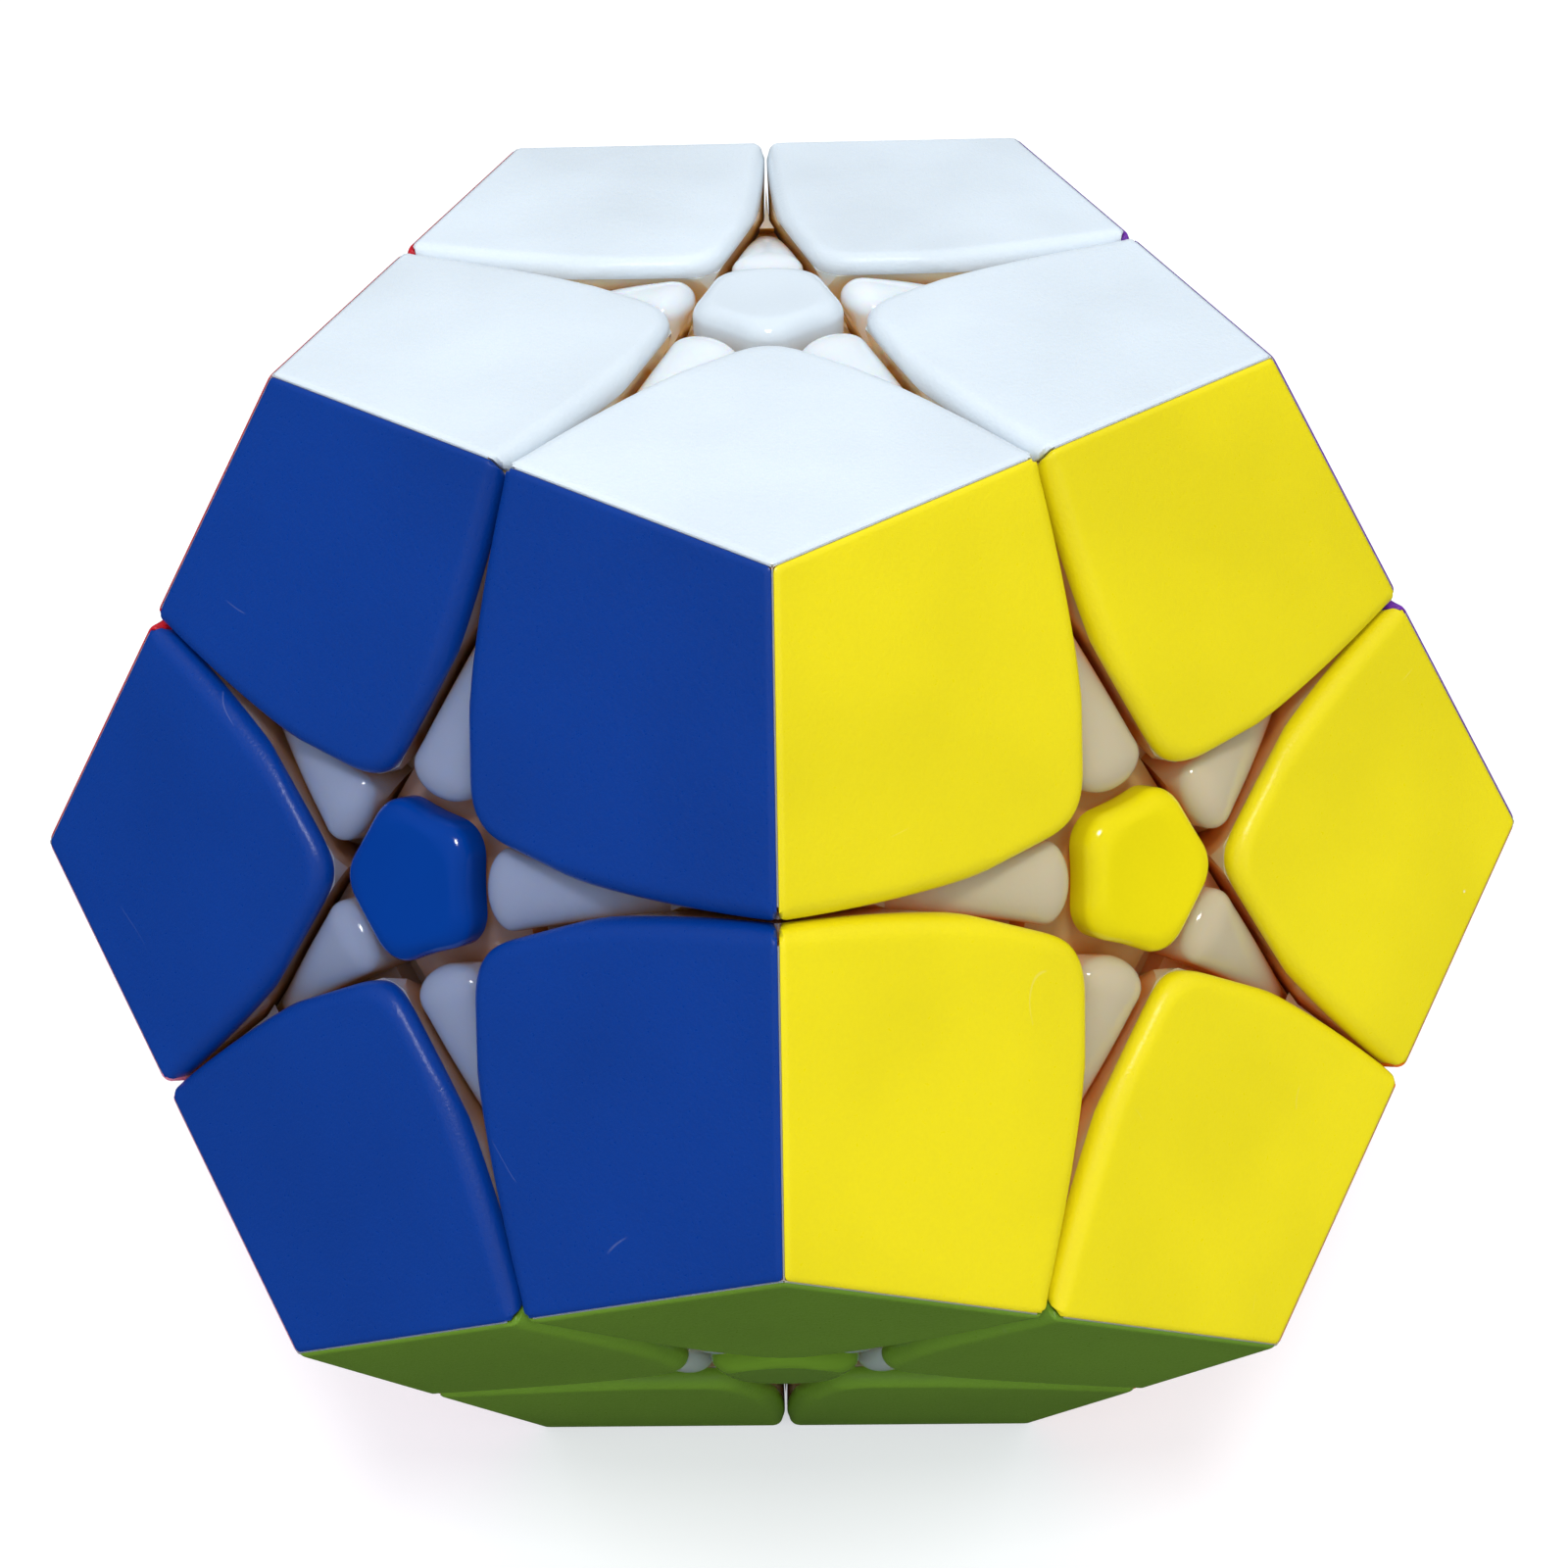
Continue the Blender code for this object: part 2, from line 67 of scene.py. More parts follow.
# The dodecahedron, from the height of the CAD model
INRADIUS = (cad_box[1].z - cad_box[0].z) / 2.0 / MILLIMETRE
EDGE = INRADIUS * 2.0 / math.sqrt(2.5 + 1.1 * math.sqrt(5.0))
FACE_APOTHEM = EDGE / (2.0 * math.tan(math.radians(36.0)))
RING_TILT = math.atan(0.5)
NEIGHBOUR_COSINE = 1.0 / math.sqrt(5.0)
NEIGHBOUR_SINE = 2.0 / math.sqrt(5.0)
HALF_DIHEDRAL = (math.pi - math.acos(NEIGHBOUR_COSINE)) / 2.0

# The turned cut under a layer, as (radius, height) about the layer's own axis
RIM_RADIUS = INRADIUS
RIM_HEIGHT = FACE_APOTHEM
CUT_SLOPE = 0.6
NECK_RADIUS = 0.871 * INRADIUS
NECK_HEIGHT = RIM_HEIGHT - CUT_SLOPE * (RIM_RADIUS - NECK_RADIUS)
SHELL_RADIUS = 0.853 * INRADIUS
SHELL_CUT = 0.525 * INRADIUS
FOOT_CUT = 0.485 * INRADIUS
LEDGE_RADIUS = math.sqrt(SHELL_RADIUS ** 2 - SHELL_CUT ** 2)
FAR = 1.6 * INRADIUS
OVERRUN = 1.0
WELD = 0.004
CUT_SEGMENTS = 120
BODY_GAP = 0.07
EDGE_GAP = 0.08

# Coloured tiles
TILE_GAP = 0.05
TILE_DEPTH = 1.0
SEAM_GAP = 0.05
INNER_FILLET = 0.9
OUTER_FILLET = 0.40
SEAM_LEAN = math.radians(48.0)
FILLET_STEPS = 9
FLAT_MARGIN = 0.35
TIP_DISTANCE = 0.158 * INRADIUS
TIP_RADIUS = 0.112 * INRADIUS
TIP_SPREAD = math.radians(36.0)
VERTEX_BLEND = 0.2
RIM_BLEND = 0.16
TIP_BLEND = 0.5
LEVEL_BLEND = 0.4
RAY_CENTRE = 0.48 * INRADIUS
RAY_LENGTH = 0.6 * INRADIUS
RAY_HALVINGS = 36
FINE_RAYS = 1440
POINT_SPACING = 0.6
POINT_TURN = math.radians(6.0)
TOP_LOOPS = (0.7, 0.35)

# Corner bodies
CORNER_FOOT = 0.718 * INRADIUS
BODY_RECESS = 0.02
TIP_FACETS = 13
RIB_HALF = 0.035
RIB_RECESS = 0.15
RIB_ROOT = 1.4
RIB_START = 0.8
WALL = 1.8
CAVITY_FLOOR = 0.60 * INRADIUS
SHAFT_RADIUS = 2.4
SHAFT_TOP = 0.85 * INRADIUS

# Edges
EDGE_FOOT = 0.647 * INRADIUS
EDGE_HEIGHT = 1.065 * INRADIUS
EDGE_RECESS = 3.3
WEB_RECESS = 0.55
WEB_SLOPE = math.radians(16.0)
WEB_BOTTOM = INRADIUS
FINGER_CENTRE = 0.177 * INRADIUS
FINGER_RADIUS = 0.053 * INRADIUS
FINGER_ROOM_DEPTH = 4.3
FINGER_STEPS = 24
LOBE_START = FINGER_CENTRE - FINGER_RADIUS
LOBE_END = 0.46 * EDGE
LOBE_GAP = 0.05
LOBE_BOTTOM = 5.2
LOBE_TOP = 0.30
LOBE_FALL = 2.7
LOBE_FALL_POWER = 1.5
LOBE_DOME = 0.5
LOBE_NOSE = 1.2
LOBE_STATIONS = 40
LOBE_ARC_STEPS = 14

# Centres
FLANGE_BOTTOM = SHELL_RADIUS + 0.15
FLANGE_TOP = INRADIUS - 3.7
FLANGE_RADIUS = 0.26 * INRADIUS
SKIRT_TOP = INRADIUS - 1.5
SKIRT_NARROW = 3.0
SKIRT_WIDE = 6.6
SKIRT_STEPS = 12
STEM_RADIUS = 3.5
STEM_BOTTOM = 17.7
BORE_RADIUS = 2.4
BORE_TOP = INRADIUS - 3.2
SEAT_HEIGHT = 19.5
SHANK_CLEARANCE_RADIUS = 1.3
CAP_TOP_RADIUS = 2.6
CAP_CORNER_REACH = 2.1
CAP_CORNER_RADIUS = 1.8
CAP_SIDE_HOLLOW = 0.08
CAP_SHOULDER = 0.95
CAP_ROUNDNESS = 2.0
CAP_STEPS = 12
CAP_SEGMENTS = 120
CAP_BOTTOM = SKIRT_TOP - 0.3

# Core, screws and springs
CORE_RADIUS = 13.5
POST_RADIUS = 3.3
POST_TOP = STEM_BOTTOM - 0.3
POST_SEGMENTS = 48
SCREW_BOTTOM = 9.0
SCREW_HOLE_RADIUS = 1.3
SCREW_HOLE_MARGIN = 0.3
SHANK_RADIUS = 0.85
THREAD_RADIUS = 1.02
THREAD_PITCH = 0.8
THREAD_TOP = 17.0
THREAD_STEPS = 20
HEAD_RADIUS = 2.0
HEAD_BOTTOM = 27.4
HEAD_TOP = 28.8
HEAD_CHAMFER = 0.4
SLOT_WIDTH = 0.5
SLOT_DEPTH = 0.7
WIRE_RADIUS = 0.28
COIL_RADIUS = 1.65
COIL_TURNS = 5
COIL_GAP = 0.1
COIL_STEPS = 28
WIRE_SIDES = 10

# Face name: (azimuth in degrees, side of the ring, colour). Side 1 is the ring around the
# top face, side -1 the ring around the bottom face, and 2 and -2 are those two faces.
FACES = {
    "white": (0.0, 2, (0.64, 0.71, 0.765)),
    "blue": (-126.0, 1, (0.0002, 0.037, 0.262)),
    "yellow": (-54.0, 1, (0.775, 0.65, 0.004)),
    "purple": (18.0, 1, (0.16, 0.03, 0.36)),
    "green": (90.0, 1, (0.005, 0.19, 0.05)),
    "red": (162.0, 1, (0.52, 0.008, 0.02)),
    # The lime colour is kept darker than its plastic, so part of the bottom face's shade is painted into
    # it.
    "lime": (-90.0, -1, (0.14, 0.275, 0.022)),
    "orange": (-18.0, -1, (0.85, 0.20, 0.006)),
    "sky": (54.0, -1, (0.10, 0.46, 0.78)),
    "cream": (126.0, -1, (0.80, 0.71, 0.44)),
    "pink": (198.0, -1, (0.82, 0.27, 0.42)),
    "grey": (0.0, -2, (0.22, 0.23, 0.24)),
}
# Pale inner plastic, painted with light and shade: dim bases paint its shade between the tiles, and the
# light each face's tiles bounce onto it is painted in.
CORNER_SHADED_BASE = (0.24, 0.24, 0.25)
EDGE_SHADED_BASE = (0.22, 0.25, 0.30)
CENTRE_SHADED_BASE = (0.30, 0.24, 0.18)
TILE_BOUNCE = (0.38, 0.30, 0.36)
WHITE_BOUNCE = (0.36, 0.44, 0.32)
# Painted shade: the warm brown that the pale plastic is multiplied by in its crevices.
PAINTED_CREVICE_SHADE = (1.9, 0.76, 0.14, 1.0)
PAINTED_LIGHT_LAYER = "plastic"
CORE_COLOUR = (0.10, 0.10, 0.11)
STEEL_COLOUR = (0.56, 0.57, 0.58)


def face_normal(name):
    azimuth, side, _ = FACES[name]
    if abs(side) == 2:
        return Vector((0.0, 0.0, side / 2.0))
    flat = math.cos(RING_TILT)
    turn = math.radians(azimuth)
    return Vector((flat * math.cos(turn), flat * math.sin(turn), side * math.sin(RING_TILT)))


NORMALS = {name: face_normal(name) for name in FACES}


def are_neighbours(first, second):
    return abs(NORMALS[first].dot(NORMALS[second]) - NEIGHBOUR_COSINE) < 0.01


def neighbours(name):
    return [other for other in FACES if are_neighbours(name, other)]


def edge_list():
    names = list(FACES)
    return [(a, b) for i, a in enumerate(names) for b in names[i + 1:] if are_neighbours(a, b)]


def corner_list():
    """The twenty triples of faces, each turning the same way round its corner."""
    corners = []
    for a, b in edge_list():
        for c in list(FACES)[list(FACES).index(b) + 1:]:
            if are_neighbours(a, c) and are_neighbours(b, c):
                turn = NORMALS[a].cross(NORMALS[b]).dot(NORMALS[c])
                corners.append((a, b, c) if turn > 0.0 else (a, c, b))
    return corners


def columns(x_axis, y_axis, z_axis):
    return Matrix((x_axis, y_axis, z_axis)).transposed()


def facing(normal, towards):
    """Axes with Z along a normal and X leaning towards a direction."""
    x_axis = (towards - normal * towards.dot(normal)).normalized()
    return columns(x_axis, normal.cross(x_axis), normal)


def face_frame(name):
    """Axes on a face: Z out of it, X towards a neighbouring face."""
    return facing(NORMALS[name], NORMALS[neighbours(name)[0]])


def edge_frame(a, b):
    """Axes on an edge: Z out through its middle, X towards its first face's axis."""
    z_axis = (NORMALS[a] + NORMALS[b]).normalized()
    x_axis = (NORMALS[a] - NORMALS[b]).normalized()
    return columns(x_axis, z_axis.cross(x_axis), z_axis)


def corner_frame(a, b, c):
    """The three face normals as columns: skewed, but alike at every corner."""
    return columns(NORMALS[a], NORMALS[b], NORMALS[c])


def corner_direction(corner):
    return sum((NORMALS[face] for face in corner), Vector()).normalized()


# Meshes


def new_object(name, mesh):
    item = bpy.data.objects.new(name, mesh)
    bpy.context.scene.collection.objects.link(item)
    return item


def object_from(bm, name):
    bmesh.ops.recalc_face_normals(bm, faces=bm.faces)
    mesh = bpy.data.meshes.new(name)
    bm.to_mesh(mesh)
    bm.free()
    return new_object(name, mesh)


def used_up(item):
    """Keep an object's mesh and remove the object."""
    mesh = item.data
    bpy.data.objects.remove(item, do_unlink=True)
    return mesh


def ready(mesh, name, sharp_degrees=35.0):
    """Scale a finished mesh to metres and shade it smooth, but for its real edges."""
    mesh.name = name
    mesh.transform(Matrix.Scale(MILLIMETRE, 4))
    mesh.shade_smooth()
    mesh.set_sharp_from_angle(angle=math.radians(sharp_degrees))
    return mesh


def turned(name, profile, segments):
    """A solid turned about Z from (radius, height) points, the first and last on the axis."""
    bm = bmesh.new()
    points = [bm.verts.new((radius, 0.0, height)) for radius, height in profile]
    lines = [bm.edges.new(pair) for pair in zip(points, points[1:])]
    bmesh.ops.spin(
        bm, geom=points + lines, cent=(0, 0, 0), axis=(0, 0, 1),
        angle=2.0 * math.pi, steps=segments, use_merge=True,
    )
    bmesh.ops.remove_doubles(bm, verts=bm.verts, dist=WELD)
    return object_from(bm, name)


def prism(name, outline, bottom, top):
    """A solid over a flat outline of (x, y) points, between two heights."""
    bm = bmesh.new()
    base = bm.faces.new([bm.verts.new((x, y, bottom)) for x, y in outline])
    raised = bmesh.ops.extrude_face_region(bm, geom=[base])["geom"]
    moved = [item for item in raised if isinstance(item, bmesh.types.BMVert)]
    bmesh.ops.translate(bm, verts=moved, vec=(0.0, 0.0, top - bottom))
    return object_from(bm, name)


def slice_off(bm, distance, direction):
    """Cut away what lies beyond a plane, and close the cut."""
    cut = bmesh.ops.bisect_plane(
        bm, geom=bm.verts[:] + bm.edges[:] + bm.faces[:], dist=0.0001,
        plane_co=direction * distance, plane_no=direction, clear_outer=True,
    )
    rim = [item for item in cut["geom_cut"] if isinstance(item, bmesh.types.BMEdge)]
    if rim:
        bmesh.ops.edgeloop_fill(bm, edges=rim)


def block_within(name, planes):
    """The convex solid inside (distance, direction) planes."""
    bm = bmesh.new()
    bmesh.ops.create_cube(bm, size=2.0 * FAR)
    for distance, direction in planes:
        slice_off(bm, distance, direction)
    return object_from(bm, name)


def sliced(item, planes):
    bm = bmesh.new()
    bm.from_mesh(item.data)
    for distance, direction in planes:
        slice_off(bm, distance, direction)
    bmesh.ops.recalc_face_normals(bm, faces=bm.faces)
    bm.to_mesh(item.data)
    bm.free()


def combine(item, other, operation):
    """Join, cut or intersect an object with another, which is used up."""
    modifier = item.modifiers.new(operation, "BOOLEAN")
    modifier.operation = operation
    modifier.solver = "EXACT"
    modifier.object = other
    depsgraph = bpy.context.evaluated_depsgraph_get()
    result = bpy.data.meshes.new_from_object(item.evaluated_get(depsgraph))
    item.modifiers.clear()
    item.data = result
    bpy.data.objects.remove(other, do_unlink=True)
    weld(result)


def weld(mesh):
    """Close the hairline cracks that a cut leaves where points fall together."""
    bm = bmesh.new()
    bm.from_mesh(mesh)
    bmesh.ops.remove_doubles(bm, verts=bm.verts, dist=WELD)
    bmesh.ops.dissolve_degenerate(bm, edges=bm.edges, dist=WELD)
    bm.to_mesh(mesh)
    bm.free()


def lofted(name, rings, closed_top=True, closed_bottom=True):
    """A skin over closed rings of points, the first ring on top, with flat ends."""
    bm = bmesh.new()
    loops = [[bm.verts.new(point) for point in ring] for ring in rings]
    for upper, lower in zip(loops, loops[1:]):
        for i, vertex in enumerate(upper):
            before = i - 1
            bm.faces.new((upper[before], vertex, lower[i], lower[before]))
    if closed_top:
        bm.faces.new(loops[0])
    if closed_bottom:
        bm.faces.new(loops[-1][::-1])
    bmesh.ops.remove_doubles(bm, verts=bm.verts, dist=WELD)
    return object_from(bm, name)


# The cuts between pieces


def layer_profile(inset):
    """The turned solid of one layer. A positive inset shrinks it, for the pieces inside
    the layer; a negative one grows it, for the room that pieces outside it must leave."""
    neck = NECK_HEIGHT + inset * math.hypot(1.0, CUT_SLOPE)
    foot = FOOT_CUT + inset
    ledge = SHELL_CUT + inset
    shell = SHELL_RADIUS - inset
    return [
        (0.0, foot),
        (math.sqrt(shell ** 2 - foot ** 2), foot),
        (math.sqrt(shell ** 2 - ledge ** 2), ledge),
        (NECK_RADIUS, neck),
        (FAR, neck + CUT_SLOPE * (FAR - NECK_RADIUS)),
        (FAR, FAR),
        (0.0, FAR),
    ]


def layer_solid(face, inset):
    solid = turned("layer_" + face, layer_profile(inset), CUT_SEGMENTS)
    solid.data.transform(face_frame(face).to_4x4())
    return solid


def cut_distance(points, axis):
    """How far points lie inside the layer about an axis, above its core shell."""
    height = points @ axis
    radius = np.sqrt(np.maximum((points ** 2).sum(axis=1) - height ** 2, 0.0))
    neck_slope = (NECK_HEIGHT - SHELL_CUT) / (NECK_RADIUS - LEDGE_RADIUS)
    slope = np.where(radius > NECK_RADIUS, CUT_SLOPE, neck_slope)
    return (height - NECK_HEIGHT - slope * (radius - NECK_RADIUS)) / np.hypot(1.0, slope)


def side_axes(degrees):
    """The axes of the two neighbouring faces at equal angles from X, on a face about Z."""
    turn = math.radians(degrees)
    return [
        np.array((
            NEIGHBOUR_SINE * math.cos(turn), side * NEIGHBOUR_SINE * math.sin(turn),
            NEIGHBOUR_COSINE,
        ))
        for side in (1.0, -1.0)
    ]


def soft_least(first, second, width):
    """The lesser of two distances, rounded off where they are nearly equal."""
    closeness = np.maximum(width - np.abs(first - second), 0.0) / width
    return np.minimum(first, second) - closeness ** 2 * width / 4.0


# Coloured tiles


def tip_distance(points):
    """How far points lie inside the rounded tip of a tile and its two tangents."""
    centre = TIP_DISTANCE + TIP_RADIUS
    along = centre - points[:, 0]
    across = np.abs(points[:, 1])
    beyond = np.maximum(np.arctan2(across, along) - TIP_SPREAD, 0.0)
    return TIP_RADIUS - np.hypot(along, across) * np.cos(np.minimum(beyond, math.pi / 2.0))


def seam_distance(points, axis):
    """How far points lie from the mitre between a tile's face and a neighbouring face."""
    mitre = np.array((0.0, 0.0, 1.0)) - axis
    return points @ (mitre / np.linalg.norm(mitre))


def tile_distances(points):
    """Distances inside a tile's two swept sides and tip, and inside its two mitres."""
    first, second = side_axes(36.0)
    sides = soft_least(cut_distance(points, first), cut_distance(points, second), TIP_BLEND)
    sides = soft_least(sides, tip_distance(points), TIP_BLEND)
    seams = soft_least(seam_distance(points, first), seam_distance(points, second), VERTEX_BLEND)
    return sides, seams


def tile_ring(angles, depths, side_inset, seam_inset):
    """Where rays from the tile's middle leave it, at their own depths below the face."""
    directions = np.stack((np.cos(angles), np.sin(angles), np.zeros(len(angles))), axis=1)
    start = np.zeros_like(directions)
    start[:, 0] = RAY_CENTRE
    start[:, 2] = INRADIUS - depths
    near = np.zeros(len(angles))
    far = np.full(len(angles), RAY_LENGTH)
    for _ in range(RAY_HALVINGS):
        middle = (near + far) / 2.0
        sides, seams = tile_distances(start + directions * middle[:, None])
        inside = soft_least(sides - side_inset, seams - seam_inset, RIM_BLEND) > 0.0
        near = np.where(inside, middle, near)
        far = np.where(inside, far, middle)
    return start + directions * near[:, None]


def tile_angles():
    """Ray angles that space a tile's outline evenly, and closer where it bends."""
    fine = np.linspace(-math.pi, math.pi, FINE_RAYS, endpoint=False)
    points = tile_ring(fine, np.zeros(FINE_RAYS), TILE_GAP, SEAM_GAP)[:, :2]
    steps = np.roll(points, -1, axis=0) - points
    headings = np.arctan2(steps[:, 1], steps[:, 0])
    bends = np.roll(headings, -1) - headings
    bends = np.abs((bends + math.pi) % (2.0 * math.pi) - math.pi)
    effort = np.hypot(steps[:, 0], steps[:, 1]) / POINT_SPACING + bends / POINT_TURN
    total = np.concatenate(([0.0], np.cumsum(effort)))
    count = int(round(total[-1]))
    wanted = np.arange(count) * total[-1] / count
    return np.interp(wanted, total, np.append(fine, math.pi))


def tile_levels():
    """(side depth, side inset, seam depth, seam inset) of each ring, from the top down."""
    sine = math.sin(HALF_DIHEDRAL)
    cosine = math.cos(HALF_DIHEDRAL)
    last_depth = OUTER_FILLET * (1.0 - math.cos(SEAM_LEAN))
    start = (SEAM_GAP + cosine * last_depth) / sine + OUTER_FILLET * math.sin(SEAM_LEAN)
    levels = [(0.0, TILE_GAP + INNER_FILLET + FLAT_MARGIN, 0.0, (start + FLAT_MARGIN) * sine)]
    for step in range(FILLET_STEPS + 1):
        turn = math.pi / 2.0 * step / FILLET_STEPS
        lean = SEAM_LEAN * step / FILLET_STEPS
        depth = OUTER_FILLET * (1.0 - math.cos(lean))
        along = start - OUTER_FILLET * math.sin(lean)
        levels.append((
            INNER_FILLET * (1.0 - math.cos(turn)),
            TILE_GAP + INNER_FILLET * (1.0 - math.sin(turn)),
            depth,
            along * sine - depth * cosine,
        ))
    levels.append((TILE_DEPTH, TILE_GAP, TILE_DEPTH, SEAM_GAP))
    return levels


def tile_mesh():
    """A tile on a face about Z, its corner of the dodecahedron towards X."""
    angles = tile_angles()
    outline = tile_ring(angles, np.zeros(len(angles)), TILE_GAP, SEAM_GAP)
    sides, seams = tile_distances(outline)
    lead = (sides - TILE_GAP) - (seams - SEAM_GAP)
    at_seam = np.clip(0.5 + lead / (2.0 * LEVEL_BLEND), 0.0, 1.0)
    rings = []
    for side_depth, side_inset, seam_depth, seam_inset in tile_levels():
        depths = side_depth + (seam_depth - side_depth) * at_seam
        rings.append(tile_ring(angles, depths, side_inset, seam_inset))
    middle = np.array((RAY_CENTRE, 0.0, INRADIUS))
    rim = rings[0]
    for share in TOP_LOOPS:
        rings.insert(0, middle + (rim - middle) * share)
    return used_up(lofted("tile", rings))


# Corner bodies


def tip_planes(corner, margin):
    """Upright planes that round each inner tip of a corner, facing its face's axis."""
    planes = []
    middle = corner_direction(corner)
    for face in corner:
        normal = NORMALS[face]
        outward = (middle - normal * middle.dot(normal)).normalized()
        for facet in range(TIP_FACETS):
            turn = TIP_SPREAD * (2.0 * facet / (TIP_FACETS - 1) - 1.0)
            inward = Matrix.Rotation(turn, 3, normal) @ -outward
            centre = (TIP_DISTANCE + TIP_RADIUS) * math.cos(turn)
            planes.append((TIP_RADIUS - margin - centre, inward))
    return planes


def corner_cavity(corner):
    """The hollow inside a corner, open at its foot through a three-sided shaft."""
    middle = corner_direction(corner)
    planes = [(INRADIUS - TILE_DEPTH - WALL, NORMALS[face]) for face in corner]
    planes += [(-CAVITY_FLOOR, -NORMALS[face]) for face in corner]
    cavity = block_within("cavity", planes)
    sides = [(NORMALS[face] - middle * NORMALS[face].dot(middle)).normalized() for face in corner]
    shaft_planes = [(SHAFT_RADIUS, -side) for side in sides]
    shaft_planes += [(SHAFT_TOP, middle), (OVERRUN - CORNER_FOOT, -middle)]
    combine(cavity, block_within("shaft", shaft_planes), "UNION")
    return cavity


def seam_rib(a, b, c):
    """A thin fin of a corner body that rises between its tiles on faces a and b."""
    middle = (NORMALS[a] + NORMALS[b]).normalized()
    across = (NORMALS[a] - NORMALS[b]).normalized()
    along = middle.cross(across)
    if along.dot(NORMALS[c]) < 0.0:
        along = -along
    to_height = 1.0 / middle.dot(NORMALS[a])
    rings = []
    for at_vertex in (False, True):
        ring = []
        for depth, side in ((RIB_RECESS, 1.0), (RIB_RECESS, -1.0), (RIB_ROOT, -1.0), (RIB_ROOT, 1.0)):
            reach = RIB_START
            if at_vertex:
                reach = EDGE / 2.0 * (INRADIUS - depth) / INRADIUS - RIB_HALF
            height = (INRADIUS - depth) * to_height
            ring.append(middle * height + across * (side * RIB_HALF) + along * reach)
        rings.append(ring)
    return lofted("seam_rib", rings)


def corner_body_mesh(corner):
    """The trihedral block under three tiles, with a foot that hooks under the edges."""
    top = INRADIUS - TILE_DEPTH - BODY_RECESS
    piece = block_within("corner_body", [(top, normal) for normal in NORMALS.values()])
    for face in corner:
        combine(piece, layer_solid(face, BODY_GAP), "INTERSECT")
    sliced(piece, [(-CORNER_FOOT, -corner_direction(corner))] + tip_planes(corner, BODY_GAP))
    for a, b, c in (corner, corner[1:] + corner[:1], corner[2:] + corner[:2]):
        combine(piece, seam_rib(a, b, c), "UNION")
    combine(piece, corner_cavity(corner), "DIFFERENCE")
    return used_up(piece)


# Edges


def finger_room(face, other):
    """What is cut from an edge piece beside a centre, so its lobe ends as a round finger."""
    steps = [math.pi * i / FINGER_STEPS for i in range(FINGER_STEPS + 1)]
    arc = [
        (FINGER_CENTRE - FINGER_RADIUS * math.sin(turn), FINGER_RADIUS * math.cos(turn))
        for turn in steps
    ]
    beyond = 2.0 * FINGER_RADIUS
    outline = [(FINGER_CENTRE, beyond)] + arc
    outline += [(FINGER_CENTRE, -beyond), (-beyond, -beyond), (-beyond, beyond)]
    room = prism("finger_room", outline, INRADIUS - FINGER_ROOM_DEPTH, INRADIUS + OVERRUN)
    room.data.transform(facing(NORMALS[face], NORMALS[other]).to_4x4())
    return room


def lobe_half_width(along, depth):
    """Half the room between two tiles' sides, less the play, that far from a face's axis."""
    axis = side_axes(72.0)[0]
    near = np.zeros(1)
    far = np.full(1, RAY_LENGTH)
    for _ in range(RAY_HALVINGS):
        middle = (near + far) / 2.0
        point = np.array(((along, middle[0], INRADIUS - depth),))
        outside = cut_distance(point, axis) < -LOBE_GAP
        near = np.where(outside, middle, near)
        far = np.where(outside, far, middle)
    return near[0]


def lobe_section(along):
    """Points across a lobe at one distance from the face's axis, over its domed top."""
    nose = max(0.0, (FINGER_CENTRE - along) / FINGER_RADIUS)
    fullness = math.sqrt(max(0.0, 1.0 - nose ** 2))
    reach = (along - LOBE_START) / (LOBE_END - LOBE_START)
    ridge = LOBE_TOP + LOBE_FALL * reach ** LOBE_FALL_POWER + LOBE_NOSE * (1.0 - fullness)
    plain = lobe_half_width(along, ridge)
    half = min(plain, FINGER_RADIUS + (plain - FINGER_RADIUS) * fullness) * fullness
    dome = LOBE_DOME * min(half, FINGER_RADIUS)
    points = []
    for step in range(LOBE_ARC_STEPS + 1):
        turn = math.pi * (step / LOBE_ARC_STEPS - 0.5)
        height = INRADIUS - ridge - dome * (1.0 - math.cos(turn))
        points.append((along, half * math.sin(turn), height))
    foot = min(half, lobe_half_width(along, LOBE_BOTTOM))
    points.append((along, foot, INRADIUS - LOBE_BOTTOM))
    points.insert(0, (along, -foot, INRADIUS - LOBE_BOTTOM))
    return points


def lobe(face, other):
    """The rounded tongue of an edge piece in the gap between two tiles."""
    sections = []
    for station in range(LOBE_STATIONS + 1):
        share = 1.0 - math.cos(math.pi / 2.0 * station / LOBE_STATIONS)
        sections.append(lobe_section(LOBE_START + (LOBE_END - LOBE_START) * share))
    piece = lofted("lobe", sections, closed_top=False)
    piece.data.transform(facing(NORMALS[face], NORMALS[other]).to_4x4())
    combine(piece, layer_solid(other, EDGE_GAP), "INTERSECT")
    return piece


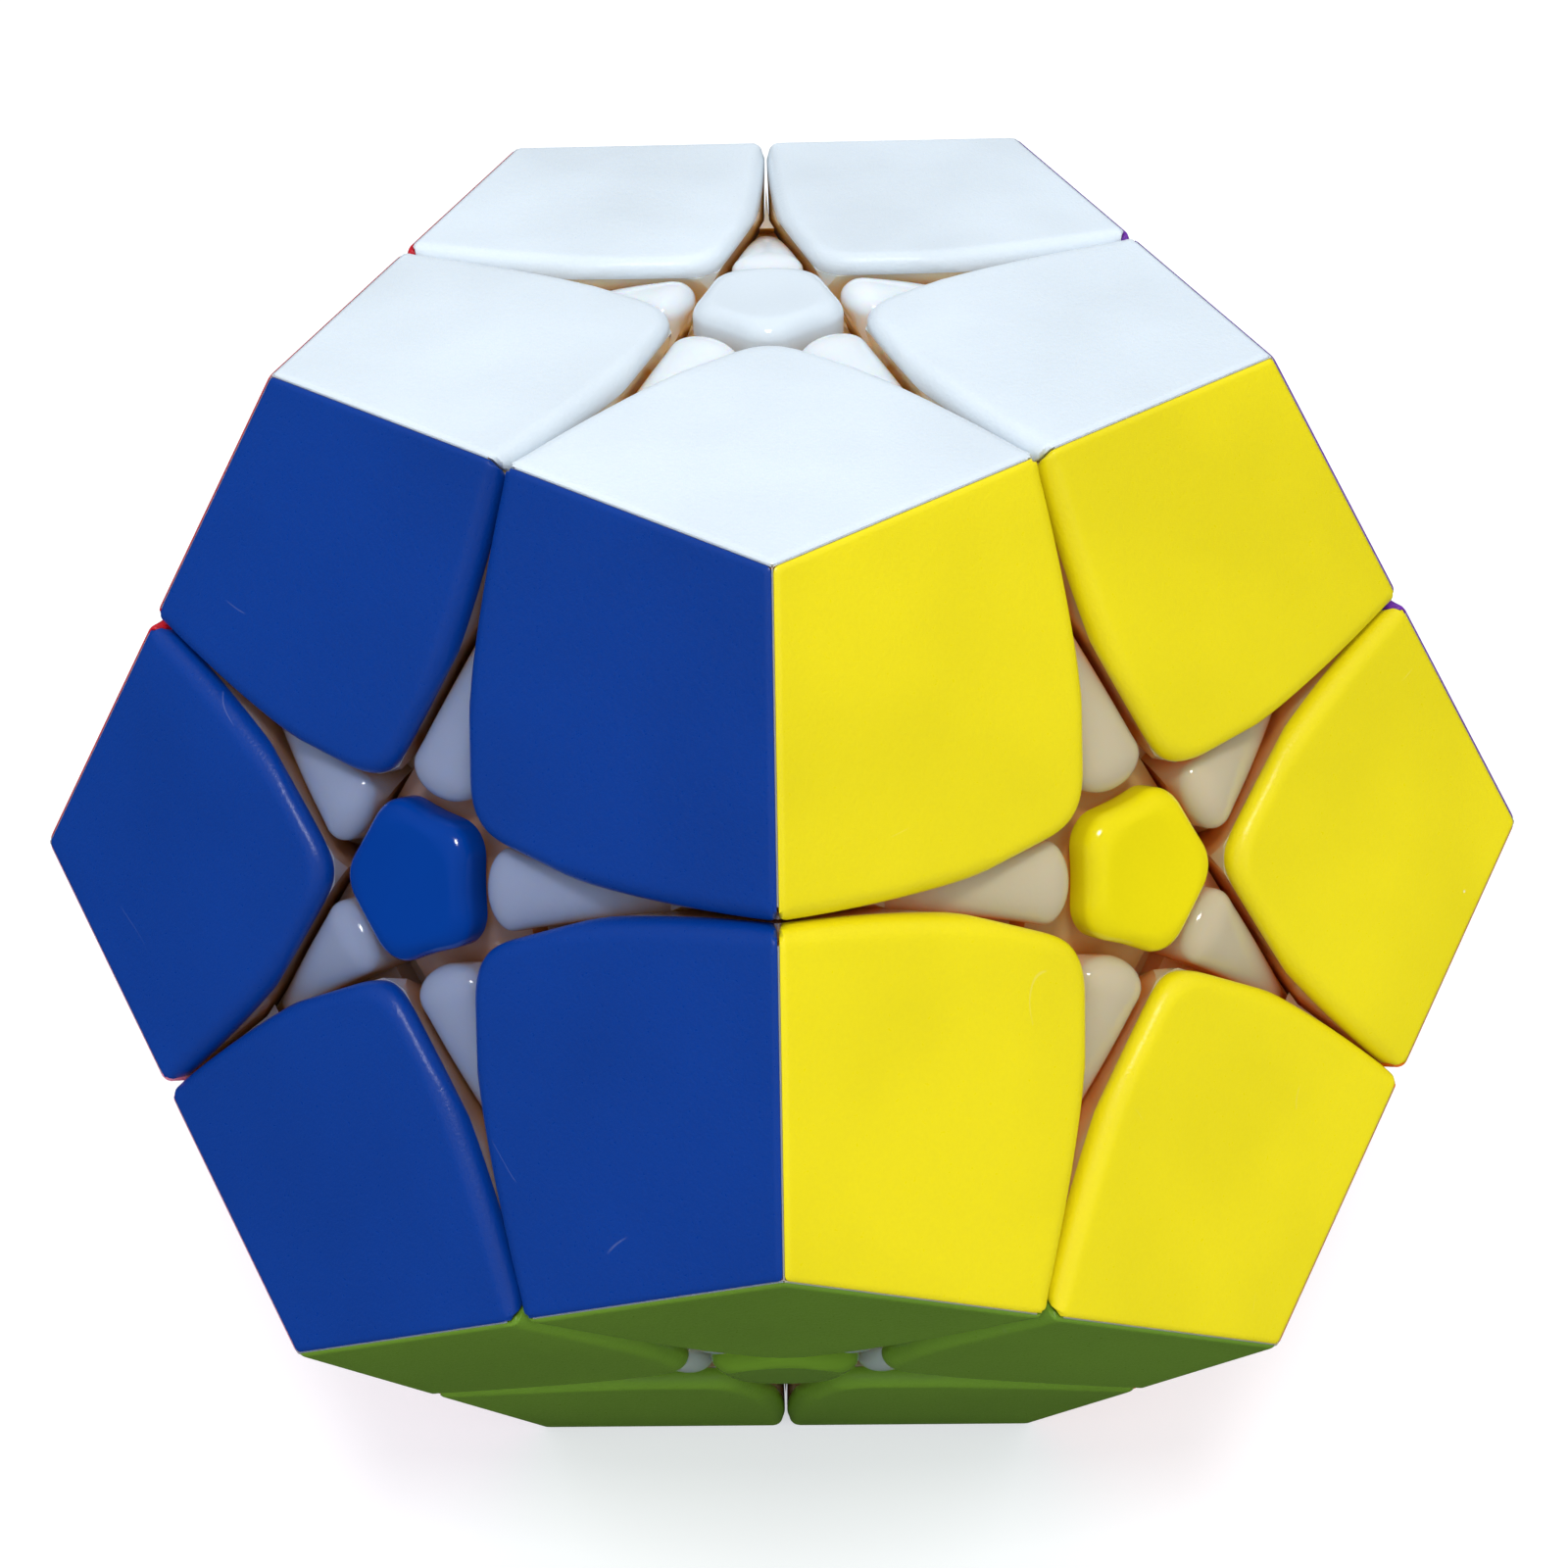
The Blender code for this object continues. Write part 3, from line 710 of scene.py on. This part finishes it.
def edge_mesh(a, b):
    """One edge: a lobe in the gap on each of its two faces, and a foot under the centres."""
    middle = (NORMALS[a] + NORMALS[b]).normalized()
    planes = [(INRADIUS - EDGE_RECESS, NORMALS[face]) for face in FACES if face not in (a, b)]
    deep_planes = [(INRADIUS - EDGE_RECESS, NORMALS[face]) for face in (a, b)]
    piece = block_within("edge", planes + deep_planes + [(EDGE_HEIGHT, middle)])
    crest = middle * ((INRADIUS - WEB_RECESS) / middle.dot(NORMALS[a]))
    web_planes = planes + [(-WEB_BOTTOM, -middle)]
    for face in (a, b):
        outward = (middle - NORMALS[face] * middle.dot(NORMALS[face])).normalized()
        slope = NORMALS[face] * math.cos(WEB_SLOPE) - outward * math.sin(WEB_SLOPE)
        web_planes.append((crest.dot(slope), slope))
    combine(piece, block_within("web", web_planes), "UNION")
    for face in (a, b):
        combine(piece, layer_solid(face, EDGE_GAP), "INTERSECT")
    ends = [c for c in FACES if are_neighbours(a, c) and are_neighbours(b, c)]
    for face in ends:
        combine(piece, layer_solid(face, -EDGE_GAP), "DIFFERENCE")
    sliced(piece, [(-EDGE_FOOT, -middle)])
    combine(piece, finger_room(a, b), "DIFFERENCE")
    combine(piece, finger_room(b, a), "DIFFERENCE")
    combine(piece, lobe(a, b), "UNION")
    combine(piece, lobe(b, a), "UNION")
    return used_up(piece)


# Centres


def centre_body_mesh(face):
    """Flange and stem, cut free of the five neighbouring layers, bored for its screw."""
    profile = [
        (0.0, STEM_BOTTOM), (STEM_RADIUS, STEM_BOTTOM), (STEM_RADIUS, FLANGE_BOTTOM),
        (FLANGE_RADIUS, FLANGE_BOTTOM), (FLANGE_RADIUS, FLANGE_TOP),
    ]
    for step in range(SKIRT_STEPS + 1):
        turn = math.pi / 2.0 * (1.0 - step / SKIRT_STEPS)
        flare = (SKIRT_WIDE - SKIRT_NARROW) * (1.0 - math.cos(turn))
        profile.append((SKIRT_NARROW + flare, SKIRT_TOP - (SKIRT_TOP - FLANGE_TOP) * math.sin(turn)))
    profile.append((0.0, SKIRT_TOP))
    piece = turned("centre_body", profile, CUT_SEGMENTS)
    piece.data.transform(face_frame(face).to_4x4())
    for other in neighbours(face):
        combine(piece, layer_solid(other, -EDGE_GAP), "DIFFERENCE")
    bore = [
        (0.0, STEM_BOTTOM - OVERRUN), (SHANK_CLEARANCE_RADIUS, STEM_BOTTOM - OVERRUN),
        (SHANK_CLEARANCE_RADIUS, SEAT_HEIGHT), (BORE_RADIUS, SEAT_HEIGHT),
        (BORE_RADIUS, BORE_TOP), (0.0, BORE_TOP),
    ]
    hole = turned("bore", bore, POST_SEGMENTS)
    hole.data.transform(face_frame(face).to_4x4())
    combine(piece, hole, "DIFFERENCE")
    return used_up(piece)


def cap_wall_radius(heading):
    """The cap's wall: a pentagon with round corners and slightly hollow sides."""
    half_turn = math.radians(36.0)
    from_side = abs((heading + half_turn) % (2.0 * half_turn) - half_turn)
    apothem = CAP_CORNER_REACH * math.cos(half_turn) + CAP_CORNER_RADIUS
    straight_end = math.atan2(CAP_CORNER_REACH * math.sin(half_turn), apothem)
    if from_side < straight_end:
        radius = apothem / math.cos(from_side)
    else:
        from_corner = half_turn - from_side
        offset = CAP_CORNER_REACH * math.sin(from_corner)
        radius = CAP_CORNER_REACH * math.cos(from_corner)
        radius += math.sqrt(CAP_CORNER_RADIUS ** 2 - offset ** 2)
    return radius - CAP_SIDE_HOLLOW * math.cos(from_side * 2.5) ** 2


def cap_mesh(face):
    """The raised cap: a round flat top whose shoulder spreads into a rounded pentagon."""
    headings = [2.0 * math.pi * i / CAP_SEGMENTS for i in range(CAP_SEGMENTS)]
    levels = [(-FLAT_MARGIN / CAP_SHOULDER, 0.0)]
    for step in range(CAP_STEPS + 1):
        turn = math.pi / 2.0 * step / CAP_STEPS
        spread = math.sin(turn) ** (2.0 / CAP_ROUNDNESS)
        drop = 1.0 - math.cos(turn) ** (2.0 / CAP_ROUNDNESS)
        levels.append((spread, drop))
    rings = []
    for spread, drop in levels:
        height = INRADIUS - CAP_SHOULDER * drop
        ring = []
        for heading in headings:
            wall = cap_wall_radius(heading)
            radius = CAP_TOP_RADIUS + (wall - CAP_TOP_RADIUS) * spread
            if spread < 0.0:
                radius = CAP_TOP_RADIUS - FLAT_MARGIN
            ring.append((radius * math.cos(heading), radius * math.sin(heading), height))
        rings.append(ring)
    rings.append([(x, y, CAP_BOTTOM) for x, y, _ in rings[-1]])
    piece = lofted("cap", rings)
    piece.data.transform(face_frame(face).to_4x4())
    return used_up(piece)


# Core, screws and springs


def thread():
    """A helical ridge along a screw's shank, its root sunk into the shank."""
    turns = (THREAD_TOP - SCREW_BOTTOM - 2.0 * THREAD_PITCH) / THREAD_PITCH
    steps = int(turns * THREAD_STEPS)
    half = THREAD_PITCH * 0.32
    root = SHANK_RADIUS - 0.15
    rings = []
    for step in range(steps + 1):
        turn = 2.0 * math.pi * step / THREAD_STEPS
        height = SCREW_BOTTOM + 1.5 * THREAD_PITCH + THREAD_PITCH * step / THREAD_STEPS
        c, s = math.cos(turn), math.sin(turn)
        rings.append([
            (root * c, root * s, height - half),
            (THREAD_RADIUS * c, THREAD_RADIUS * s, height),
            (root * c, root * s, height + half),
        ])
    return lofted("thread", rings)


def screw_mesh(face):
    """A slotted screw, from its head over the spring to its tip in the core."""
    profile = [
        (0.0, SCREW_BOTTOM), (SHANK_RADIUS * 0.5, SCREW_BOTTOM),
        (SHANK_RADIUS, SCREW_BOTTOM + SHANK_RADIUS), (SHANK_RADIUS, HEAD_BOTTOM),
        (HEAD_RADIUS, HEAD_BOTTOM), (HEAD_RADIUS, HEAD_TOP - HEAD_CHAMFER),
        (HEAD_RADIUS - HEAD_CHAMFER, HEAD_TOP), (0.0, HEAD_TOP),
    ]
    piece = turned("screw", profile, POST_SEGMENTS)
    half = SLOT_WIDTH / 2.0
    ends = ((-HEAD_RADIUS, -half), (HEAD_RADIUS, -half), (HEAD_RADIUS, half), (-HEAD_RADIUS, half))
    slot = prism("slot", ends, HEAD_TOP - SLOT_DEPTH, HEAD_TOP + OVERRUN)
    combine(piece, slot, "DIFFERENCE")
    combine(piece, thread(), "UNION")
    piece.data.transform(face_frame(face).to_4x4())
    return used_up(piece)


def spring_mesh(face):
    """A coil between the centre's seat and the screw's head, its ends cut square."""
    bottom = SEAT_HEIGHT + COIL_GAP + WIRE_RADIUS
    top = HEAD_BOTTOM - COIL_GAP - WIRE_RADIUS
    steps = COIL_STEPS * COIL_TURNS
    rings = []
    for step in range(steps + 1):
        turn = 2.0 * math.pi * COIL_TURNS * step / steps
        ring = []
        for side in range(WIRE_SIDES):
            swing = 2.0 * math.pi * side / WIRE_SIDES
            radius = COIL_RADIUS + WIRE_RADIUS * math.cos(swing)
            height = bottom + (top - bottom) * step / steps + WIRE_RADIUS * math.sin(swing)
            ring.append((radius * math.cos(turn), radius * math.sin(turn), height))
        rings.append(ring)
    piece = lofted("spring", rings)
    piece.data.transform(face_frame(face).to_4x4())
    return used_up(piece)


def core_mesh():
    """The ball in the middle, with a bored post towards every face."""
    bm = bmesh.new()
    bmesh.ops.create_icosphere(bm, subdivisions=5, radius=CORE_RADIUS)
    piece = object_from(bm, "core")
    post_profile = [
        (0.0, CORE_RADIUS / 2.0), (POST_RADIUS, CORE_RADIUS / 2.0),
        (POST_RADIUS, POST_TOP), (0.0, POST_TOP),
    ]
    bottom = SCREW_BOTTOM - SCREW_HOLE_MARGIN
    hole_profile = [
        (0.0, bottom), (SCREW_HOLE_RADIUS, bottom),
        (SCREW_HOLE_RADIUS, POST_TOP + OVERRUN), (0.0, POST_TOP + OVERRUN),
    ]
    for face in FACES:
        for profile, operation in ((post_profile, "UNION"), (hole_profile, "DIFFERENCE")):
            tool = turned("tool", profile, POST_SEGMENTS)
            tool.data.transform(face_frame(face).to_4x4())
            combine(piece, tool, operation)
    return used_up(piece)


# Materials


class Nodes:
    """Short calls for wiring one material's nodes."""

    def __init__(self, name):
        self.material = bpy.data.materials.new(name)
        self.material.use_nodes = True
        self.tree = self.material.node_tree
        self.shader = self.tree.nodes["Principled BSDF"]

    def add(self, kind, **inputs):
        node = self.tree.nodes.new(kind)
        for name, value in inputs.items():
            self.feed(node.inputs[name.replace("_", " ")], value)
        return node

    def feed(self, socket, value):
        if isinstance(value, bpy.types.NodeSocket):
            self.tree.links.new(value, socket)
        else:
            socket.default_value = value

    def math(self, operation, *values):
        node = self.tree.nodes.new("ShaderNodeMath")
        node.operation = operation
        for socket, value in zip(node.inputs, values):
            self.feed(socket, value)
        return node.outputs[0]

    def ramp(self, value, start, end, low=0.0, high=1.0):
        """A value stretched from start..end to low..high, and held at both ends."""
        node = self.add("ShaderNodeMapRange", Value=value)
        node.inputs["From Min"].default_value = start
        node.inputs["From Max"].default_value = end
        node.inputs["To Min"].default_value = low
        node.inputs["To Max"].default_value = high
        return node.outputs["Result"]

    def mix(self, share, first, second, kind="MIX"):
        node = self.tree.nodes.new("ShaderNodeMix")
        node.data_type = "RGBA"
        node.blend_type = kind
        self.feed(node.inputs["Factor"], share)
        self.feed(node.inputs["A"], first)
        self.feed(node.inputs["B"], second)
        return next(out for out in node.outputs if out.type == "RGBA")

    def noise(self, where, size, detail=2.0, seed=0.0):
        """Noise whose blotches are about so many millimetres wide."""
        node = self.tree.nodes.new("ShaderNodeTexNoise")
        node.noise_dimensions = "4D"
        self.feed(node.inputs["Vector"], where)
        self.feed(node.inputs["W"], seed)
        node.inputs["Scale"].default_value = 1.0 / (size * MILLIMETRE)
        node.inputs["Detail"].default_value = detail
        return node.outputs["Factor"] if "Factor" in node.outputs else node.outputs["Fac"]

    def place(self):
        return self.tree.nodes.new("ShaderNodeTexCoord").outputs["Object"]

    def seed(self, spread=40.0):
        """A number that differs from piece to piece."""
        info = self.tree.nodes.new("ShaderNodeObjectInfo")
        return self.math("MULTIPLY", info.outputs["Random"], spread)

    def bump(self, height, depth, under=None):
        """A relief whose full height is so many millimetres."""
        node = self.add("ShaderNodeBump", Height=height)
        node.inputs["Distance"].default_value = depth * MILLIMETRE
        if under is not None:
            self.feed(node.inputs["Normal"], under)
        return node.outputs["Normal"]


def colour(rgb, strength=1.0):
    return tuple(min(1.0, part * strength) for part in rgb) + (1.0,)


def dust(nodes, where, seed):
    """A few pale specks, far apart."""
    cells = nodes.tree.nodes.new("ShaderNodeTexVoronoi")
    cells.voronoi_dimensions = "4D"
    nodes.feed(cells.inputs["Vector"], where)
    nodes.feed(cells.inputs["W"], nodes.math("FLOOR", seed))
    cells.inputs["Scale"].default_value = 1.0 / (3.2 * MILLIMETRE)
    near = nodes.ramp(cells.outputs["Distance"], 0.020, 0.034, 1.0, 0.0)
    split = nodes.add("ShaderNodeSeparateColor", Color=cells.outputs["Color"])
    rare = nodes.math("GREATER_THAN", split.outputs[0], 0.80)
    return nodes.math("MULTIPLY", near, rare)


def hairline(nodes, where, seed):
    """A short faint scratch here and there: a thin contour of a slow noise."""
    slow = nodes.noise(where, 9.0, 1.0, seed)
    line = nodes.math("ABSOLUTE", nodes.math("SUBTRACT", slow, 0.5))
    thin = nodes.ramp(line, 0.0006, 0.0016, 1.0, 0.0)
    patch = nodes.ramp(nodes.noise(where, 3.0, 0.0, nodes.math("ADD", seed, 7.0)), 0.71, 0.74)
    return nodes.math("MULTIPLY", thin, patch)


def tile_plastic(face, glossy=False):
    """Moulded tile plastic: a fine frosted grain, slow tone changes, dust and hairlines."""
    kind = "cap" if glossy else "tile"
    nodes = Nodes(f"{kind}_plastic_{face}")
    base = FACES[face][2]
    where = nodes.place()
    seed = nodes.seed()
    slow = nodes.noise(where, 11.0, 2.0, seed)
    tone = nodes.mix(nodes.ramp(slow, 0.35, 0.65), colour(base, 0.94), colour(base, 1.05))
    grain = nodes.noise(where, 0.16, 3.0, seed)
    tone = nodes.mix(nodes.ramp(grain, 0.3, 0.7, 0.0, 0.08), tone, colour(base, 0.72))
    marks = nodes.math("MULTIPLY", dust(nodes, where, seed), 0.55)
    scratches = nodes.math("MULTIPLY", hairline(nodes, where, seed), 0.06)
    tone = nodes.mix(nodes.math("ADD", marks, scratches), tone, (0.8, 0.84, 0.88, 1.0))
    nodes.feed(nodes.shader.inputs["Base Color"], tone)
    rough = (0.10, 0.14) if glossy else (0.27, 0.36)
    nodes.feed(nodes.shader.inputs["Roughness"], nodes.ramp(grain, 0.3, 0.7, *rough))
    coarse = nodes.noise(where, 0.55, 2.0, seed)
    relief = nodes.math("ADD", grain, nodes.math("MULTIPLY", coarse, 0.6))
    normal = nodes.bump(relief, 0.004 if glossy else 0.022)
    nodes.feed(nodes.shader.inputs["Normal"], normal)
    nodes.shader.inputs["Specular IOR Level"].default_value = 0.5 if glossy else 0.34
    nodes.shader.inputs["Subsurface Weight"].default_value = 0.10
    nodes.shader.inputs["Subsurface Radius"].default_value = (1.0, 0.8, 0.6)
    nodes.shader.inputs["Subsurface Scale"].default_value = 0.5 * MILLIMETRE
    return nodes.material


def body_plastic():
    """Milky inner plastic, glossy, carrying the painted per-face light and shade, with painted brown
    shade in its crevices.
    """
    nodes = Nodes("body_plastic")
    where = nodes.place()
    seed = nodes.seed()
    # Painted shade: where ambient occlusion finds a crevice or recess, the colour is multiplied towards
    # a warm brown.
    crevice = nodes.tree.nodes.new("ShaderNodeAmbientOcclusion")
    crevice.samples = 6
    crevice.inputs["Distance"].default_value = 4.0 * MILLIMETRE
    open_share = nodes.ramp(crevice.outputs["AO"], 0.0, 0.26)
    # The per-face painted light and shade, read from the points' colour layer.
    pale = nodes.tree.nodes.new("ShaderNodeAttribute")
    pale.attribute_name = PAINTED_LIGHT_LAYER
    crevice_shade_colour = nodes.mix(1.0, pale.outputs["Color"], PAINTED_CREVICE_SHADE, "MULTIPLY")
    crevice_shade_colour.node.clamp_result = True
    tone = nodes.mix(open_share, crevice_shade_colour, pale.outputs["Color"])
    slow = nodes.noise(where, 6.0, 2.0, seed)
    tone = nodes.mix(nodes.ramp(slow, 0.35, 0.65, 0.0, 0.05), tone, (0.0, 0.0, 0.0, 1.0))
    nodes.feed(nodes.shader.inputs["Base Color"], tone)
    fine = nodes.noise(where, 0.25, 2.0, seed)
    nodes.feed(nodes.shader.inputs["Roughness"], nodes.ramp(fine, 0.3, 0.7, 0.11, 0.16))
    nodes.feed(nodes.shader.inputs["Normal"], nodes.bump(fine, 0.006))
    nodes.shader.inputs["Subsurface Weight"].default_value = 0.6
    nodes.shader.inputs["Subsurface Radius"].default_value = (1.0, 0.5, 0.25)
    nodes.shader.inputs["Subsurface Scale"].default_value = 1.4 * MILLIMETRE
    return nodes.material


def core_plastic():
    """Dark grey moulded plastic with an even matt grain."""
    nodes = Nodes("core_plastic")
    where = nodes.place()
    grain = nodes.noise(where, 0.3, 3.0)
    tone = nodes.mix(nodes.ramp(grain, 0.3, 0.7), colour(CORE_COLOUR, 0.85), colour(CORE_COLOUR, 1.1))
    nodes.feed(nodes.shader.inputs["Base Color"], tone)
    nodes.feed(nodes.shader.inputs["Roughness"], nodes.ramp(grain, 0.3, 0.7, 0.4, 0.55))
    nodes.feed(nodes.shader.inputs["Normal"], nodes.bump(grain, 0.02))
    return nodes.material


def steel():
    """Plated steel, faintly mottled."""
    nodes = Nodes("plated_steel")
    where = nodes.place()
    mottle = nodes.noise(where, 0.8, 3.0)
    tone = nodes.mix(nodes.ramp(mottle, 0.3, 0.7), colour(STEEL_COLOUR, 0.85), colour(STEEL_COLOUR, 1.1))
    nodes.feed(nodes.shader.inputs["Base Color"], tone)
    nodes.shader.inputs["Metallic"].default_value = 1.0
    nodes.feed(nodes.shader.inputs["Roughness"], nodes.ramp(mottle, 0.3, 0.7, 0.22, 0.36))
    nodes.feed(nodes.shader.inputs["Normal"], nodes.bump(mottle, 0.004))
    return nodes.material


# Placing pieces

NODE_BODY = {
    node: body for body, nodes in frame["record"]["behaviour"]["bodies"].items() for node in nodes
}
CORE_NODE = "core_with_fixed_centres"


def place(name, mesh, turn, material, node):
    """One piece: a copy of its kind's mesh, turned into place, on its CAD node's body."""
    own = mesh.copy()
    own.transform(turn.to_quaternion().to_matrix().to_4x4())
    own.materials.append(material)
    piece = new_object(name, own)
    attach(piece, NODE_BODY[node])
    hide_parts(node)
    return piece


def gap_light_and_shade(face, base):
    """The pale plastic as it looks between a face's tiles, with painted light and shade: a dim base that
    paints its shade, and the light the tiles pass on painted in.
    """
    tile = FACES[face][2]
    lit = [
        own + bounce * part + white * min(tile)
        for own, bounce, white, part in zip(base, TILE_BOUNCE, WHITE_BOUNCE, tile)
    ]
    return lit + [1.0]


def paint_face_light(mesh, faces, base):
    """Paint each point of a pale piece with the painted light and shade of whichever of its faces it is
    nearest.
    """
    layer = mesh.color_attributes.new(PAINTED_LIGHT_LAYER, "FLOAT_COLOR", "POINT")
    for point, entry in zip(mesh.vertices, layer.data):
        face = max(faces, key=lambda name: point.co.dot(NORMALS[name]))
        entry.color = gap_light_and_shade(face, base)


def build_corners(materials):
    corners = corner_list()
    start = corner_frame(*corners[0]).inverted()
    body = ready(corner_body_mesh(corners[0]), "corner_body")
    tile = ready(tile_mesh(), "tile")
    for corner in corners:
        node = "corner_" + "_".join(corner)
        turn = corner_frame(*corner) @ start
        piece = place(node + "_body", body, turn, materials["body"], node)
        paint_face_light(piece.data, corner, CORNER_SHADED_BASE)
        for face in corner:
            seat = facing(NORMALS[face], corner_direction(corner))
            place(f"{node}_tile_{face}", tile, seat, materials[face], node)


def build_edges(materials):
    edges = edge_list()
    start = edge_frame(*edges[0]).inverted()
    mesh = ready(edge_mesh(*edges[0]), "edge")
    for a, b in edges:
        turn = edge_frame(a, b) @ start
        node = f"edge_{a}_{b}"
        piece = place(f"edge_piece_{a}_{b}", mesh, turn, materials["body"], node)
        paint_face_light(piece.data, (a, b), EDGE_SHADED_BASE)


def node_of(kind, face):
    """The CAD node of a centre, screw or spring: its own, or the one shared with the core."""
    own = f"{kind}_{face}"
    return own if own in frame["nodes"] else CORE_NODE


def build_centres(materials):
    first = list(FACES)[0]
    start = face_frame(first).inverted()
    body = ready(centre_body_mesh(first), "centre_body")
    cap = ready(cap_mesh(first), "cap")
    screw = ready(screw_mesh(first), "screw")
    spring = ready(spring_mesh(first), "spring")
    for face in FACES:
        turn = face_frame(face) @ start
        centre_node = node_of("centre", face)
        piece = place("centre_body_" + face, body, turn, materials["body"], centre_node)
        paint_face_light(piece.data, (face,), CENTRE_SHADED_BASE)
        place("centre_cap_" + face, cap, turn, materials["cap_" + face], centre_node)
        place("slotted_screw_" + face, screw, turn, materials["steel"], node_of("screw", face))
        place("coil_spring_" + face, spring, turn, materials["steel"], node_of("spring", face))


def build_core(materials):
    mesh = ready(core_mesh(), "core")
    place("core_ball", mesh, Matrix.Identity(3), materials["core"], CORE_NODE)


# Studio

FLOOR_GLOW = 0.56
HORIZON_STRENGTH = 0.35
ZENITH_STRENGTH = 1.15
BACKDROP_STRENGTH = 1.03
MIRRORED_SHARE = 0.06


def add_area_light(name, azimuth, elevation, distance, size, power, tint=(1.0, 1.0, 1.0)):
    """A square soft light aimed at the puzzle, by its direction seen from the puzzle."""
    data = bpy.data.lights.new(name, "AREA")
    data.size = size
    data.energy = power
    data.color = tint
    light = bpy.data.objects.new(name, data)
    bpy.context.scene.collection.objects.link(light)
    turn = math.radians(azimuth)
    rise = math.radians(elevation)
    direction = Vector((
        math.cos(rise) * math.cos(turn), math.cos(rise) * math.sin(turn), math.sin(rise),
    ))
    light.location = direction * distance
    light.rotation_mode = "QUATERNION"
    light.rotation_quaternion = direction.to_track_quat("Z", "Y")
    return light


def build_floor():
    """A plain pale floor under the puzzle's bottom face."""
    bm = bmesh.new()
    bmesh.ops.create_grid(bm, x_segments=1, y_segments=1, size=3.0)
    floor = object_from(bm, "floor")
    floor.location.z = cad_box[0].z
    nodes = Nodes("floor_paper")
    nodes.shader.inputs["Base Color"].default_value = (0.50, 0.50, 0.50, 1.0)
    nodes.shader.inputs["Roughness"].default_value = 0.8
    nodes.shader.inputs["Specular IOR Level"].default_value = 0.0
    nodes.shader.inputs["Emission Color"].default_value = (0.95, 0.97, 1.0, 1.0)
    seen = nodes.tree.nodes.new("ShaderNodeLightPath").outputs["Is Camera Ray"]
    glow = nodes.math("MULTIPLY", seen, FLOOR_GLOW)
    nodes.feed(nodes.shader.inputs["Emission Strength"], glow)
    floor.data.materials.append(nodes.material)
    floor.visible_glossy = False


def build_world():
    """An even pale room: dimmer towards the horizon, and pale where the camera sees it."""
    world = bpy.data.worlds.new("studio")
    world.use_nodes = True
    tree = world.node_tree
    background = tree.nodes["Background"]
    background.inputs["Color"].default_value = (0.93, 0.96, 1.0, 1.0)
    split = tree.nodes.new("ShaderNodeSeparateXYZ")
    tree.links.new(tree.nodes.new("ShaderNodeTexCoord").outputs["Generated"], split.inputs[0])
    rise = tree.nodes.new("ShaderNodeMapRange")
    tree.links.new(split.outputs["Z"], rise.inputs["Value"])
    rise.inputs["From Min"].default_value = 0.0
    rise.inputs["From Max"].default_value = 0.7
    rise.inputs["To Min"].default_value = HORIZON_STRENGTH
    rise.inputs["To Max"].default_value = ZENITH_STRENGTH
    seen = tree.nodes.new("ShaderNodeLightPath").outputs["Is Camera Ray"]
    mirrored = tree.nodes.new("ShaderNodeMath")
    mirrored.operation = "MULTIPLY_ADD"
    tree.links.new(seen.node.outputs["Is Glossy Ray"], mirrored.inputs[0])
    mirrored.inputs[1].default_value = MIRRORED_SHARE - 1.0
    mirrored.inputs[2].default_value = 1.0
    dimmed = tree.nodes.new("ShaderNodeMath")
    dimmed.operation = "MULTIPLY"
    tree.links.new(rise.outputs["Result"], dimmed.inputs[0])
    tree.links.new(mirrored.outputs[0], dimmed.inputs[1])
    choice = tree.nodes.new("ShaderNodeMix")
    tree.links.new(seen, choice.inputs["Factor"])
    tree.links.new(dimmed.outputs[0], choice.inputs["A"])
    choice.inputs["B"].default_value = BACKDROP_STRENGTH
    tree.links.new(choice.outputs["Result"], background.inputs["Strength"])
    bpy.context.scene.world = world


def build_lights():
    add_area_light("key", -90.0, 68.0, 0.6, 0.10, 1.2)
    for name, azimuth in (("left_fill", -118.0), ("right_fill", -62.0)):
        fill = add_area_light(name, azimuth, 22.0, 0.7, 0.4, 0.45)
        fill.visible_glossy = False


CAMERA_PLACE = (0.0007, -3.1502, 2.6324)
CAMERA_TURN = (55.87, 1.44, 0.456)
CAMERA_LENS = 46.27
CAMERA_SHIFT = (0.0336, -0.1240)


def build_camera():
    """A camera whose place is in edge lengths of the dodecahedron and turn in degrees."""
    data = bpy.data.cameras.new("camera")
    data.lens = CAMERA_LENS
    data.sensor_width = 36.0
    data.shift_x, data.shift_y = CAMERA_SHIFT
    data.clip_start = 0.005
    camera = bpy.data.objects.new("camera", data)
    bpy.context.scene.collection.objects.link(camera)
    camera.location = Vector(CAMERA_PLACE) * EDGE * MILLIMETRE
    camera.rotation_euler = [math.radians(turn) for turn in CAMERA_TURN]
    bpy.context.scene.camera = camera


def build_materials():
    materials = {face: tile_plastic(face) for face in FACES}
    materials.update({"cap_" + face: tile_plastic(face, glossy=True) for face in FACES})
    materials["body"] = body_plastic()
    materials["core"] = core_plastic()
    materials["steel"] = steel()
    return materials


plastics = build_materials()
build_corners(plastics)
build_edges(plastics)
build_centres(plastics)
build_core(plastics)
build_floor()
build_world()
build_lights()
build_camera()
bpy.context.scene.view_settings.view_transform = "Standard"
